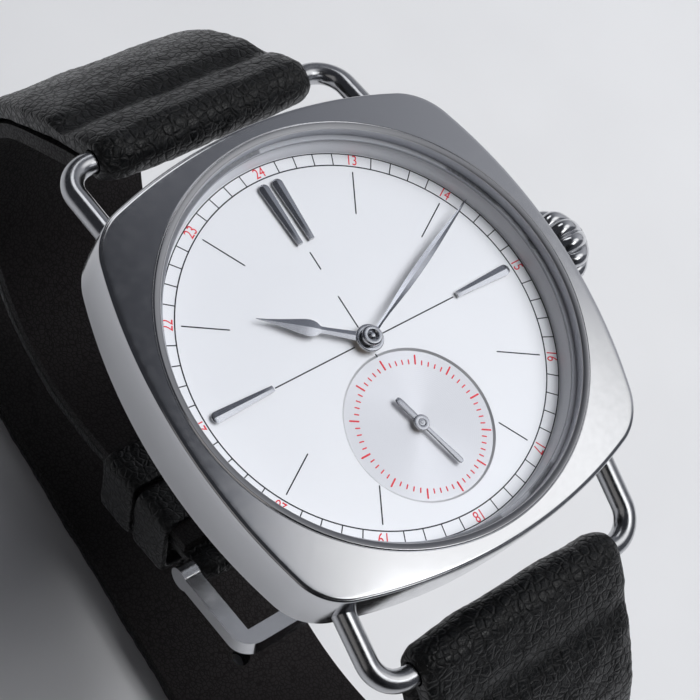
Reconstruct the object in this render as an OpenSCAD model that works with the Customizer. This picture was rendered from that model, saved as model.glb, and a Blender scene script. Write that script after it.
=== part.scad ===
// Cushion-cased automatic wristwatch with wire lugs, small seconds and a black leather strap.
// Origin at the centre of the caseback's flat face, +Z out through the dial, +Y to 12, +X to 3.

/* [Case] */
// Width of the case across its flats
case_w = 37; // [36.6:0.1:38]
// How much further the case reaches across its rounded corners than across its flats
corner_reach = 6; // [5:0.1:7]
// Radius of the four corners in plan
corner_r = 5; // [4:0.1:6]
// Height of the side wall's lower edge above the caseback face
wall_z = 4.1; // [3.8:0.05:4.3]
// Height of the side wall up to its crisp upper edge
wall_h = 5.85; // [5.6:0.05:6]
// Radius of the domed upper surface of the case
top_dome_r = 160; // [140:1:200]
// Width of the case rim round the opening that takes the dial, at the flats
rim_w = 1.6; // [1.5:0.05:1.8]
// Width of the ledge that carries the movement ring
ledge_w = 2.1; // [1.9:0.05:2.4]

/* [Bezel and crystal] */
// How far the bezel ring's seat is cut into the case rim
bezel_seat = 0.3; // [0.2:0.01:0.4]
// Width of the bezel ring
bezel_w = 0.6; // [0.5:0.05:0.8]
// How far the bezel ring stands above the case
bezel_rise = 0.1; // [0.05:0.01:0.3]
// Height of the crystal's dome over its edge
crystal_dome = 0.6; // [0.3:0.05:0.9]
// Thickness of the crystal at its edge
crystal_t = 0.95; // [0.7:0.05:1.1]
// Thickness of the crystal gasket
gasket_t = 0.3; // [0.2:0.05:0.4]

/* [Dial and hands] */
// Height of the dial's face
dial_z = 7.4; // [7.3:0.02:7.5]
// Thickness of the dial
dial_t = 0.4; // [0.3:0.05:0.5]
// Width of the flange round the dial
flange_w = 0.9; // [0.7:0.05:1]
// Distance from the dial's centre to the small seconds
seconds_y = 7.4; // [7.2:0.02:7.6]
// Radius of the sunken small seconds dial
seconds_r = 5.95; // [5.6:0.05:6.2]
// Depth of the small seconds dial
seconds_depth = 0.15; // [0.1:0.01:0.2]
// Distance from the flange to the outer end of an index
index_gap = 1.6; // [1.4:0.1:2]
// Length of an index
index_len = 5.5; // [5:0.1:6]
// Width of an index at its outer end
index_w = 0.85; // [0.6:0.05:1]
// Width of an index at its inner end
index_root = 0.5; // [0.3:0.05:0.6]
// Height of an index
index_h = 0.35; // [0.25:0.05:0.45]
// Length of the hour hand
hour_len = 8.9; // [8:0.1:9.5]
// Gap between the minute hand's tip and the flange
minute_gap = 0.5; // [0.3:0.1:2]
// Length of the small seconds hand
second_len = 4.2; // [3.5:0.1:5]
// Thickness of the hands
hand_t = 0.16; // [0.12:0.01:0.2]
// Angle of the hour hand, clockwise from 12
hour_angle = 305.5; // [0:0.5:359.5]
// Angle of the minute hand, clockwise from 12
minute_angle = 66; // [0:0.5:359.5]
// Angle of the seconds hand, clockwise from 12
second_angle = 164; // [0:0.5:359.5]

/* [Crown] */
// Height of the crown's axis above the caseback face
crown_z = 5.9; // [5.8:0.02:6]
// Largest radius of the crown
crown_r = 3.3; // [3:0.05:3.5]
// Length of the crown
crown_len = 3.9; // [3.4:0.05:4.2]
// Gap between the crown and the case wall
crown_gap = 0.3; // [0.2:0.05:0.4]
// Number of lobes round the crown
crown_lobes = 12; // [10:1:14]
// Radius of the winding stem
stem_r = 0.6; // [0.5:0.02:0.62]
// Outer radius of the crown tube
tube_r = 1.4; // [1.3:0.02:1.5]

/* [Wire lugs] */
// Diameter of the lug wire
wire_d = 1.8; // [1.6:0.05:2]
// Distance from the case's flat side to the bar of a wire lug
bar_reach = 4; // [3.8:0.05:4.5]
// Height of the bar above the caseback face
bar_z = 4.3; // [4:0.05:4.6]
// How much further apart than the strap's width the two legs of a wire lug are
leg_room = 5.8; // [5.6:0.1:6.2]
// Bend radius of the wire on its centre line
wire_bend = 2.5; // [2.2:0.05:2.7]
// Slope of the legs down from the case
wire_tilt = 15; // [12:0.5:18]

/* [Strap] */
// Width of the strap at the lugs
strap_w = 20; // [18:0.1:20.4]
// How much narrower the strap is at the buckle and tail
strap_taper = 4; // [3:0.1:5]
// Thickness of the strap at the lugs
strap_t = 3.8; // [3.4:0.1:4]
// Thickness of the strap at the buckle and tail
strap_tip_t = 2.4; // [2:0.1:2.6]
// Share of the strap's thickness that is lining leather
lining_share = 0.4; // [0.3:0.05:0.5]
// Wall of the leather loops round the bars
loop_wall = 1.15; // [1:0.05:1.3]
// Length of the flat tail that lies under the watch
tail_len = 46.6; // [40:0.1:50]
// Height of the straight side of the long strap
side_len = 10; // [8:0.1:12]
// Bend radius of the long strap under the watch
long_bend = 22; // [21:0.1:23]
// Bend radius of the short strap under the watch
short_bend = 17; // [16.5:0.1:17.5]
// Length of the short strap's straight end
short_len = 18.6; // [17.5:0.1:19]
// Number of adjusting holes
hole_count = 6; // [4:1:7]
// Distance between two adjusting holes
hole_pitch = 5.5; // [5:0.1:6]
// Radius of an adjusting hole
hole_r = 0.9; // [0.7:0.05:1]

/* [Buckle] */
// Radius of the buckle bar
pin_r = 0.55; // [0.5:0.01:0.6]
// Distance from the buckle bar to the far bar of the frame
frame_len = 8.5; // [8:0.1:8.6]
// Width of the bars of the buckle frame
frame_bar = 1.6; // [1.4:0.05:1.8]
// Thickness of the buckle frame
frame_t = 1.6; // [1.4:0.05:1.8]
// Width of the buckle tongue
tongue_w = 1.6; // [1.4:0.05:1.7]
// Width of a keeper along the strap
keeper_w = 4.5; // [4:0.1:5]
// Wall of a keeper
keeper_wall = 1; // [0.8:0.05:1.1]

/* [Movement] */
// Radius of the movement, which all its sizes are drawn for
move_r = 13; // [12.9:0.05:13.2]
// Gap between the movement and the opening in the back that it goes through
move_gap = 1.8; // [1.6:0.05:2]
// Height of the mainplate's lower face
plate_z = 5.4; // [5.35:0.01:5.45]
// Height of the bridges' lower face
bridge_z = 2.7; // [2.66:0.01:2.74]
// Thickness of the bridges
bridge_t = 0.7; // [0.6:0.01:0.74]
// Thickness of the train wheels
wheel_t = 0.2; // [0.15:0.01:0.22]
// Tooth size of the centre wheel and third pinion, pitch diameter per tooth
centre_module = 0.125; // [0.12:0.001:0.128]
// Tooth size of the third wheel and fourth pinion
third_module = 0.11; // [0.108:0.001:0.115]
// Tooth size of the fourth wheel and escape pinion
fourth_module = 0.1; // [0.096:0.001:0.102]
// Tooth size of the barrel and centre pinion
barrel_module = 0.13; // [0.128:0.001:0.132]
// Tooth size of the motion work under the dial
motion_module = 0.12; // [0.115:0.001:0.122]
// Radius of the wheel arbors
arbor_r = 0.25; // [0.2:0.01:0.28]
// Radius of the winding rotor
rotor_r = 12.6; // [12:0.05:12.8]

/* [Hidden] */
$fn = 72;
over = 1;                       // how far a cutter runs past what it cuts
run_fit = 0.05;                 // radial clearance of a turning or sliding fit
gap = 0.3;                      // gap between bodies that pass each other

// Case outline: four side arcs of one radius, joined by four corner arcs that touch them
half_w = case_w / 2;
corner_c = ((case_w + corner_reach) / 2 - corner_r) / sqrt(2);
bore_r = half_w - rim_w;
back_bore_r = bore_r - ledge_w;
fit = (back_bore_r - move_gap) / move_r;   // how the movement is scaled to the case
bezel_r = bore_r + bezel_seat;
bezel_in_r = bezel_r - bezel_w;
flange_r = bore_r - flange_w;
index_out = flange_r - index_gap;
index_in = index_out - index_len;
minute_len = flange_r - minute_gap;
bar_y = half_w + bar_reach;
leg_span = strap_w + leg_room;
strap_tip_w = strap_w - strap_taper;
side_r = (pow(corner_c, 2) + pow(corner_c - half_w, 2) - pow(corner_r, 2))
    / (2 * (half_w - corner_c - corner_r));
side_c = side_r - half_w;
touch_sum = (2 * corner_c + side_c) / (side_r - corner_r);
edge_z = wall_z + wall_h;
dome_z = edge_z + pow(half_w, 2) / (2 * top_dome_r);
function case_top(r) = dome_z - pow(r, 2) / (2 * top_dome_r);
boss_h = 1.7;                   // round underside of the case below the cushion wall
boss_top_r = half_w - 0.4;
boss_low_r = half_w - 1.7;
boss_z = wall_z - boss_h;
foot_y = half_w - 4.1;          // the wire's feet end this far from the centre
ledge_z = wall_z + 0.2;         // the movement ring stands on this ledge
bezel_top = case_top(bezel_r) + bezel_rise;
crystal_edge = bezel_top - 0.1;
crystal_z = crystal_edge - crystal_t;
flange_z = crystal_z - gasket_t;   // top of the inner flange, which carries the gasket

// Caseback
back_face_r = 13.6;
back_r = boss_low_r - 0.2;
back_rim_z = 1.4;
back_floor = 0.9;
back_neck_h = 1.2;
seal_r = back_bore_r + 0.5;
seal_t = 0.3;
notch_w = 2.4;

// Dial feet, pressed into the mainplate
dial_foot_ring = 12;
dial_feet = [100, 280];          // where the feet stand round the dial
dial_foot_r = 0.4;
dial_foot_h = 1;

// Hands and motion work, from the dial upwards
seconds_z = dial_z + 0.22;
hour_z = dial_z + 0.5;
minute_z = hour_z + hand_t + 0.22;
cannon_r = 0.45;
hour_tube_r = cannon_r + run_fit + 0.2;
dial_under = dial_z - dial_t;

// Wheel train: tooth counts of an hour to a minute train, and where each arbor stands
centre_teeth = 80;
third_leaves = 10;
third_teeth = 75;
fourth_leaves = 10;
fourth_teeth = 60;
escape_leaves = 6;
escape_teeth = 15;
barrel_teeth = 75;
centre_leaves = 10;
centre_d = centre_module * (centre_teeth + third_leaves) / 2;
third_d = third_module * (third_teeth + fourth_leaves) / 2;
third_yy = -(pow(centre_d, 2) - pow(third_d, 2) + pow(seconds_y, 2)) / (2 * seconds_y);
third_at = [sqrt(pow(centre_d, 2) - pow(third_yy, 2)), third_yy];
fourth_at = [0, -seconds_y];
escape_turn = 200;              // which way each arbor lies from the one before it
fork_turn = 150;
balance_turn = 120;
barrel_turn = 75;
motion_turn = 30;
escape_d = fourth_module * (fourth_teeth + escape_leaves) / 2;
fork_d = 2.75;
balance_d = 3;
escape_at = fourth_at + escape_d * [cos(escape_turn), sin(escape_turn)];
fork_at = escape_at + fork_d * [cos(fork_turn), sin(fork_turn)];
balance_at = fork_at + balance_d * [cos(balance_turn), sin(balance_turn)];
balance_r = 4.1;
barrel_d = barrel_module * (barrel_teeth + centre_leaves) / 2;
barrel_at = barrel_d * [cos(barrel_turn), sin(barrel_turn)];
barrel_r = barrel_module * barrel_teeth / 2;
centre_z = plate_z - 0.45;
fourth_z = centre_z - 0.4;
third_z = fourth_z - 0.45;
barrel_z = bridge_z + bridge_t + 0.2;
barrel_h = centre_z - 0.15 - barrel_z;
balance_z = bridge_z + bridge_t + 0.1;
top_pivot = plate_z + 0.4;
low_pivot = bridge_z + bridge_t - 0.35;
minute_teeth = 36;
cannon_teeth = 12;
minute_leaves = 10;
hour_teeth = 40;
motion_d = motion_module * (minute_teeth + cannon_teeth) / 2;
motion_at = motion_d * [cos(motion_turn), sin(motion_turn)];
motion_z = dial_under - 0.65;
hour_module = 2 * motion_d / (minute_leaves + hour_teeth);
motion_floor = motion_z - 0.1;
pillar_ring = 11.4;
bridge_spots = [for (a = [150, 30, -30, -73]) pillar_ring * [cos(a), sin(a)]];
cock_foot = [-10.9, 1.2];
cock_t = 0.5;
collet_r = 0.45;
escape_r = 2.1;
screw_spots = concat(bridge_spots, [cock_foot]);
screw_r = 0.75;
screw_head = 0.3;
screw_shank = 0.3;
screw_bite = 0.8;
rotor_bite = 0.9;
rotor_post_r = 1.5;
rotor_z = 1.4;

// Crown
crown_x = half_w + crown_gap;
crown_recess = 1.2;
groove_r = 0.45;
pinion_x = 7;
stem_end = pinion_x * fit - 1.4;   // the stem runs past the pinion
pinion_len = 2;
pinion_r = 0.95;

// Strap course in the plane across the bars: headings below the horizontal, in degrees
head_0 = 38;
head_1 = 50;
shoulder_r = 60;
knee_r = 16;
short_end = 200;
loop_in = wire_d / 2 + 0.1;
loop_out = loop_in + loop_wall;
function along(c, r, f) = [c[0] + r * sin(f), c[1] + r * cos(f)];
shoulder_c = along([bar_y, bar_z], -shoulder_r, head_0);
knee_c = along(shoulder_c, shoulder_r - knee_r, head_1);
long_c = [knee_c[0] + knee_r - long_bend, knee_c[1] - side_len];
short_c = [knee_c[0] + knee_r - short_bend, knee_c[1]];
floor_z = long_c[1] - long_bend - strap_tip_t / 2;
tip_start = along(short_c, short_bend, short_end);
pin_at = tip_start + short_len * [cos(short_end), -sin(short_end)];
tail_end = long_c[0] - tail_len;
pin_turn = 360 - short_end;
pin_loop = pin_r + run_fit + 0.85;
tongue_slot = 2.6;
hole_start = 18;
tongue_z = frame_t / 2 + gap;
frame_in = strap_tip_w + 2 * gap;
keeper_room = 2 * gap + strap_tip_t;
fixed_keeper_y = -6.2;
loose_keeper_y = fixed_keeper_y - keeper_w - 0.4;

// Plan of the cushion case
module case_plan() {
    reach = 2 * corner_c + corner_r * touch_sum;
    intersection() {
        translate([side_c, 0]) circle(r = side_r, $fn = 240);
        translate([-side_c, 0]) circle(r = side_r, $fn = 240);
        translate([0, side_c]) circle(r = side_r, $fn = 240);
        translate([0, -side_c]) circle(r = side_r, $fn = 240);
        rotate(45) square(reach * sqrt(2), center = true);
    }
    for (a = [45:90:315]) rotate(a) translate([corner_c * sqrt(2), 0]) circle(r = corner_r);
}

// The two straight legs of a wire lug, from the bend into the case wall
module wire_legs() {
    leg = (bar_y - foot_y) / cos(wire_tilt);
    translate([0, bar_y, bar_z]) rotate([90 - wire_tilt, 0, 0])
        for (s = [-1, 1]) translate([s * leg_span / 2, 0, wire_bend])
            cylinder(r = wire_d / 2, h = leg - wire_bend);
}

// A wire lug: a bar for the strap, two bends and two legs
module wire_lug() {
    half = leg_span / 2 - wire_bend;
    wire_legs();
    translate([0, bar_y, bar_z]) rotate([90 - wire_tilt, 0, 0]) {
        rotate([0, 90, 0]) cylinder(r = wire_d / 2, h = 2 * half, center = true);
        for (s = [0, 1]) mirror([s, 0, 0]) translate([half, 0, wire_bend]) rotate([90, 0, 0])
            rotate(-90) rotate_extrude(angle = 90) translate([wire_bend, 0]) circle(r = wire_d / 2);
    }
}
module wire_lug_12() { color("silver") wire_lug(); }
module wire_lug_6() { color("silver") mirror([0, 1, 0]) wire_lug(); }

// A rod along +X at the crown's height, from one place to another
module crown_rod(r, from, to) {
    translate([from, 0, crown_z]) rotate([0, 90, 0]) cylinder(r = r, h = to - from);
}

module mid_case() {
    color("silver") difference() {
        intersection() {
            union() {
                translate([0, 0, wall_z]) linear_extrude(dome_z - wall_z) case_plan();
                translate([0, 0, boss_z]) cylinder(r1 = boss_low_r, r2 = boss_top_r, h = boss_h);
            }
            translate([0, 0, dome_z - top_dome_r]) sphere(r = top_dome_r, $fn = 300);
        }
        translate([0, 0, boss_z - over]) cylinder(r = back_bore_r, h = dome_z);
        translate([0, 0, ledge_z]) cylinder(r = bore_r, h = dome_z);
        translate([0, 0, flange_z]) cylinder(r = bezel_r, h = dome_z);
        crown_rod(tube_r, back_bore_r, half_w + over);
        wire_legs();
        mirror([0, 1, 0]) wire_legs();
    }
}

module bezel() {
    lip = 0.15;
    color("silver") rotate_extrude() polygon([[bezel_in_r, crystal_z], [bezel_r, crystal_z],
        [bezel_r, bezel_top], [bezel_r - lip, bezel_top], [bezel_in_r, crystal_edge]]);
}

module crystal() {
    r = (pow(bezel_in_r, 2) + pow(crystal_dome, 2)) / (2 * crystal_dome);
    color([0.9, 0.95, 1, 0.3]) intersection() {
        translate([0, 0, crystal_z]) cylinder(r = bezel_in_r, h = crystal_t + crystal_dome);
        translate([0, 0, crystal_edge + crystal_dome - r]) sphere(r = r, $fn = 300);
    }
}

// A flat ring from one radius to another
module ring(r_in, r_out, h) {
    difference() {
        cylinder(r = r_out, h = h);
        translate([0, 0, -over]) cylinder(r = r_in, h = h + 2 * over);
    }
}

module crystal_gasket() {
    color("ivory") translate([0, 0, flange_z]) ring(bezel_in_r - 0.4, bezel_r, gasket_t);
}

module inner_flange() {
    slope = 0.45;
    color("gainsboro") rotate_extrude() polygon([[flange_r, dial_z], [bore_r, dial_z],
        [bore_r, flange_z], [flange_r + slope, flange_z]]);
}

module dial() {
    color("white") difference() {
        union() {
            translate([0, 0, dial_under]) cylinder(r = bore_r, h = dial_t);
            calibre() for (a = dial_feet) rotate(a) translate([dial_foot_ring, 0, dial_under - dial_foot_h])
                cylinder(r = dial_foot_r, h = dial_foot_h + dial_t / 2);
        }
        translate([0, 0, dial_under - over]) cylinder(r = hour_tube_r + 0.15, h = dial_t + 2 * over);
        translate([0, -seconds_y * fit, 0]) {
            translate([0, 0, dial_under - over]) cylinder(r = arbor_r + 0.15, h = dial_t + over);
            translate([0, 0, dial_z - seconds_depth]) cylinder(r = seconds_r * fit, h = over);
        }
    }
}

// One applied index: a wedge with a round outer end
module index() {
    tip = index_w / 2;
    root = index_root / 2;
    polygon([[-root, index_in], [root, index_in], [tip, index_out - tip],
        [-tip, index_out - tip]]);
    translate([0, index_out - tip]) circle(r = tip, $fn = 24);
}

// Single indexes at 3 and 9, and a pair at 12 whose bars lean a little towards each other
module hour_indexes() {
    apart = 0.8;
    lean = 1.4;
    color("silver") translate([0, 0, dial_z]) linear_extrude(index_h) {
        for (a = [90, -90]) rotate(a) index();
        for (s = [1, -1]) translate([s * apart, 0]) rotate(s * lean) index();
    }
}

// A hand's flat blade, from its hub to its tip along +Y
module blade(hub, hole, widths, ends) {
    linear_extrude(hand_t) difference() {
        union() {
            circle(r = hub);
            polygon(concat([for (i = [0:len(ends) - 1]) [widths[i] / 2, ends[i]]],
                [for (i = [len(ends) - 1:-1:0]) [-widths[i] / 2, ends[i]]]));
        }
        circle(r = hole * fit);
    }
}

module hour_hand() {
    color("silver") rotate(-hour_angle) translate([0, 0, hour_z])
        blade(1.15, hour_tube_r, [0.8, 0.54, 1.36, 0.08],
            [0, hour_len * 0.44, hour_len * 0.53, hour_len]);
}

module minute_hand() {
    color("silver") rotate(-minute_angle) translate([0, 0, minute_z])
        blade(0.85, cannon_r, [0.4, 0.72, 0.1], [0, minute_len * 0.5, minute_len]);
}

module seconds_hand() {
    tail = second_len * 0.6;
    color("silver") translate([0, -seconds_y * fit, seconds_z]) rotate(-second_angle) {
        blade(0.6, arbor_r, [0.5, 0.5, 0.28, 0.24],
            [-tail, -tail * 0.25, second_len * 0.2, second_len]);
        translate([0, -tail, 0]) cylinder(r = 0.25, h = hand_t);
    }
}

module caseback() {
    neck_wall = 0.9;
    color("silver") difference() {
        rotate_extrude() polygon([[0, 0], [back_face_r, 0], [back_r, back_rim_z], [back_r, boss_z],
            [back_bore_r, boss_z], [back_bore_r, boss_z + back_neck_h],
            [back_bore_r - neck_wall, boss_z + back_neck_h], [back_bore_r - neck_wall, back_floor],
            [0, back_floor]]);
        translate([0, 0, boss_z - seal_t]) ring(back_bore_r, seal_r, seal_t + over);
        for (a = [0:60:300]) rotate(a) translate([back_face_r + 0.8, -notch_w / 2, -over])
            cube([back_r, notch_w, over + back_floor]);
    }
}

module caseback_gasket() {
    color("dimgray") translate([0, 0, boss_z - seal_t]) ring(back_bore_r, seal_r, seal_t);
}

// Onion crown: a bulging turned form with grooves between its lobes
module crown() {
    base_r = crown_r * 0.74;
    end_r = crown_r * 0.62;
    bulge = [for (i = [0:10]) let (f = i / 10)
        [base_r * (1 - f) + end_r * f + (crown_r - (base_r + end_r) / 2) * sin(180 * f),
            f * (crown_len - 0.3)]];
    color("silver") translate([crown_x, 0, crown_z]) rotate([0, 90, 0]) difference() {
        rotate_extrude() polygon(concat([[0, 0]], bulge, [[end_r - 0.5, crown_len], [0, crown_len]]));
        for (i = [0:crown_lobes - 1]) rotate(i * 360 / crown_lobes)
            translate([crown_r + 0.12, 0, -over])
                cylinder(r = groove_r, h = crown_len + 2 * over, $fn = 24);
        translate([0, 0, -over]) cylinder(r = tube_r + run_fit, h = crown_recess + over);
        translate([0, 0, -over]) cylinder(r = stem_r, h = crown_recess + over + 1);
    }
}

module crown_tube() {
    color("silver") difference() {
        crown_rod(tube_r, bore_r, crown_x + crown_recess - 0.1);
        crown_rod(stem_r + run_fit, bore_r - over, crown_x + crown_recess + over);
    }
}

module winding_stem() {
    color("silver") crown_rod(stem_r, stem_end, crown_x + crown_recess + 1);
}

module winding_pinion() {
    foot = pinion_x * fit;
    color("goldenrod") difference() {
        crown_rod(pinion_r, foot, foot + pinion_len);
        crown_rod(stem_r + run_fit / 2, foot - over, foot + pinion_len + over);
        for (a = [0:45:315]) translate([foot - 0.01, 0, crown_z]) rotate([a, 0, 0])
            translate([0, 0.8, -0.12]) cube([0.3, 1, 0.24]);
    }
}

module movement_ring() {
    color("tan") difference() {
        translate([0, 0, ledge_z]) ring(move_r * fit, bore_r, dial_under - ledge_z);
        crown_rod(tube_r + 0.1, move_r * fit - over, bore_r + over);
    }
}

// Toothed outline with a tooth pointing at the angle given
module teeth(count, size, face) {
    r = count * size / 2;
    p = 360 / count;
    flank = [[-0.28, -0.9], [-0.13, 0.7], [0.13, 0.7], [0.28, -0.9]];   // share of a pitch, height
    rotate(face) polygon([for (i = [0:count - 1], q = flank)
        (r + q[1] * size) * [cos((i + q[0]) * p), sin((i + q[0]) * p)]]);
}

// A spoked wheel on its arbor
module wheel(count, size, face, z, hub) {
    r = count * size / 2;
    rim = 0.5;
    translate([0, 0, z]) linear_extrude(wheel_t) difference() {
        teeth(count, size, face);
        difference() {
            circle(r = r - size - rim);
            circle(r = hub);
            for (a = [0, 90]) rotate(a) square([2 * r, 0.45], center = true);
        }
        circle(r = arbor_r);
    }
}

// A pinion: its leaves stand on the same arbor
module pinion(count, size, face, z, h) {
    translate([0, 0, z]) linear_extrude(h) difference() {
        teeth(count, size, face);
        circle(r = arbor_r);
    }
}

module arbor(from, to) { translate([0, 0, from]) cylinder(r = arbor_r, h = to - from, $fn = 32); }

// The movement is made wider or narrower with the case
module calibre() { scale([fit, fit, 1]) children(); }

function facing(a, b) = atan2(b[1] - a[1], b[0] - a[0]);

// A hole for an arbor's pivot
module pivot(at, r = arbor_r + run_fit) {
    translate([at[0], at[1], 0]) cylinder(r = r, h = dome_z);
}

module mainplate() {
    hour_r = hour_module * hour_teeth / 2 + hour_module + 0.2;
    minute_r = motion_module * minute_teeth / 2 + motion_module + 0.15;
    color("gainsboro") difference() {
        calibre() difference() {
            translate([0, 0, plate_z]) cylinder(r = move_r, h = dial_under - plate_z);
            translate([0, 0, motion_floor]) cylinder(r = hour_r, h = dome_z);
            translate([motion_at[0], motion_at[1], motion_floor]) cylinder(r = minute_r, h = dome_z);
            pivot([0, 0]);
            pivot(fourth_at);
            for (p = [third_at, escape_at, fork_at, balance_at, barrel_at])
                translate([p[0], p[1], plate_z - over])
                    cylinder(r = arbor_r + run_fit, h = top_pivot - plate_z + run_fit + over, $fn = 32);
            for (a = dial_feet) rotate(a) translate([dial_foot_ring, 0, dial_under - dial_foot_h])
                cylinder(r = dial_foot_r, h = dial_foot_h + over);
            for (p = screw_spots) translate([p[0], p[1], plate_z - over])
                cylinder(r = screw_shank, h = over + screw_bite, $fn = 32);
        }
        crown_rod(stem_r + run_fit, stem_end - 0.2, bore_r);
        crown_rod(pinion_r + run_fit, pinion_x * fit - run_fit, pinion_x * fit + pinion_len + run_fit);
    }
}

// Outline of the balance cock, drawn out by a margin
module cock_plan(margin) {
    arm_len = norm(cock_foot - balance_at);
    translate(balance_at) circle(r = 1.2 + margin);
    translate(cock_foot) circle(r = 1.5 + margin);
    translate(balance_at) rotate(facing(balance_at, cock_foot)) translate([0, -0.9 - margin])
        square([arm_len, 1.8 + 2 * margin]);
}

// A round pillar that stands under a bridge, with its screw hole
module pillar(at, h) {
    translate([at[0], at[1], plate_z - h]) cylinder(r = 1, h = h);
}

module screw_cut(at) {
    translate([at[0], at[1], bridge_z - over]) cylinder(r = screw_r, h = over + screw_head, $fn = 32);
    translate([at[0], at[1], bridge_z]) cylinder(r = screw_shank, h = plate_z - bridge_z, $fn = 32);
}

module train_bridge() {
    color("gainsboro") calibre() difference() {
        union() {
            translate([0, 0, bridge_z]) linear_extrude(bridge_t) difference() {
                circle(r = move_r - 0.2);
                translate(balance_at) circle(r = balance_r + 0.6);
                cock_plan(0.25);
            }
            for (p = bridge_spots) pillar(p, plate_z - bridge_z - bridge_t / 2);
            translate([0, 0, rotor_z]) cylinder(r = rotor_post_r, h = bridge_z + bridge_t / 2 - rotor_z);
        }
        for (p = bridge_spots) screw_cut(p);
        for (p = [[0, 0], third_at, fourth_at, escape_at, barrel_at])
            translate([p[0], p[1], low_pivot - run_fit])
                cylinder(r = arbor_r + run_fit, h = dome_z, $fn = 32);
        translate([0, 0, rotor_z - over]) cylinder(r = screw_shank, h = over + rotor_bite, $fn = 32);
    }
}

module balance_cock() {
    color("gainsboro") calibre() difference() {
        union() {
            translate([0, 0, bridge_z]) linear_extrude(cock_t) cock_plan(0);
            pillar(cock_foot, plate_z - bridge_z - cock_t / 2);
        }
        screw_cut(cock_foot);
        translate([balance_at[0], balance_at[1], low_pivot - 0.15 - run_fit])
            cylinder(r = arbor_r + run_fit, h = dome_z, $fn = 32);
    }
}

module bridge_screws() {
    color("steelblue") calibre() for (p = screw_spots) {
        translate([p[0], p[1], bridge_z]) difference() {
            cylinder(r = screw_r, h = screw_head, $fn = 32);
            translate([-screw_r, -0.1, -over]) cube([2 * screw_r, 0.2, over + 0.12]);
        }
        translate([p[0], p[1], bridge_z + screw_head])
            cylinder(r = screw_shank, h = plate_z + screw_bite - bridge_z - screw_head, $fn = 32);
    }
}

module barrel() {
    drum_r = barrel_r - barrel_module - 0.15;
    color("goldenrod") calibre() translate([barrel_at[0], barrel_at[1], 0]) {
        difference() {
            union() {
                translate([0, 0, barrel_z]) cylinder(r = drum_r, h = barrel_h);
                translate([0, 0, barrel_z + barrel_h / 2]) linear_extrude(wheel_t)
                    teeth(barrel_teeth, barrel_module, facing(barrel_at, [0, 0]));
            }
            translate([0, 0, barrel_z + barrel_h - 0.15]) ring(1, drum_r - 0.3, 0.15 + over);
        }
        arbor(low_pivot, top_pivot);
    }
}

module centre_wheel() {
    color("goldenrod") calibre() {
        wheel(centre_teeth, centre_module, facing([0, 0], third_at), centre_z, 1);
        pinion(centre_leaves, barrel_module, facing([0, 0], barrel_at) + 180 / centre_leaves,
            barrel_z, centre_z - barrel_z);
        arbor(low_pivot, minute_z + hand_t);
    }
}

module third_wheel() {
    color("goldenrod") calibre() translate([third_at[0], third_at[1], 0]) {
        wheel(third_teeth, third_module, facing(third_at, fourth_at), third_z, 0.8);
        pinion(third_leaves, centre_module, facing(third_at, [0, 0]) + 180 / third_leaves,
            third_z + wheel_t, centre_z + wheel_t - third_z);
        arbor(low_pivot, top_pivot);
    }
}

module fourth_wheel() {
    color("goldenrod") calibre() translate([fourth_at[0], fourth_at[1], 0]) {
        wheel(fourth_teeth, fourth_module, facing(fourth_at, escape_at), fourth_z, 0.8);
        pinion(fourth_leaves, third_module, facing(fourth_at, third_at) + 180 / fourth_leaves,
            third_z - 0.1, fourth_z - third_z + 0.1);
        arbor(low_pivot, seconds_z + hand_t);
    }
}

module escape_wheel() {
    tip = escape_r;
    p = 360 / escape_teeth;
    color("silver") calibre() translate([escape_at[0], escape_at[1], 0]) {
        translate([0, 0, third_z]) linear_extrude(wheel_t) difference() {
            polygon([for (i = [0:escape_teeth - 1], q = [[0, -0.5], [0.45, 0], [0.7, -0.08], [0.5, -0.5]])
                (tip + q[1]) * [cos((i + q[0]) * p), sin((i + q[0]) * p)]]);
            difference() {
                circle(r = tip - 0.8);
                circle(r = 0.6);
                for (a = [0, 90]) rotate(a) square([2 * tip, 0.3], center = true);
            }
            circle(r = arbor_r);
        }
        pinion(escape_leaves, fourth_module, facing(escape_at, fourth_at) + 180 / escape_leaves,
            third_z + wheel_t, fourth_z + wheel_t - third_z);
        arbor(low_pivot, top_pivot);
    }
}

module pallet_fork() {
    to_escape = facing(fork_at, escape_at);
    to_balance = facing(fork_at, balance_at);
    color("silver") calibre() translate([fork_at[0], fork_at[1], 0]) {
        translate([0, 0, third_z]) linear_extrude(wheel_t) {
            circle(r = 0.45);
            rotate(to_balance) translate([0, -0.12]) square([2.45, 0.24]);
            for (a = [-50, 50]) rotate(to_escape + a) translate([0, -0.14]) square([0.95, 0.28]);
        }
        arbor(third_z - 0.15, top_pivot);
    }
}

module balance_wheel() {
    color("goldenrod") calibre() translate([balance_at[0], balance_at[1], 0]) {
        translate([0, 0, balance_z]) linear_extrude(wheel_t) difference() {
            circle(r = balance_r);
            difference() {
                circle(r = balance_r - 0.5);
                circle(r = 0.7);
                square([2 * balance_r, 0.5], center = true);
            }
        }
        translate([0, 0, bridge_z + cock_t + 0.05]) cylinder(r = collet_r, h = balance_z - bridge_z - cock_t);
        arbor(low_pivot - 0.15, top_pivot);
    }
}

// The hairspring is a flat spiral ribbon that starts on the balance's collet
module hairspring() {
    turns = 6;
    steps = turns * 20;
    pitch = 0.32;
    strip = 0.07;
    function spiral(i, side) = (collet_r + strip / 2 + pitch * i / 20 + side * strip / 2)
        * [cos(i * 18), sin(i * 18)];
    color("steelblue") calibre() translate([balance_at[0], balance_at[1], bridge_z + cock_t + 0.07])
        linear_extrude(0.12) polygon(concat([for (i = [0:steps]) spiral(i, -1)],
            [for (i = [steps:-1:0]) spiral(i, 1)]));
}

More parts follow.
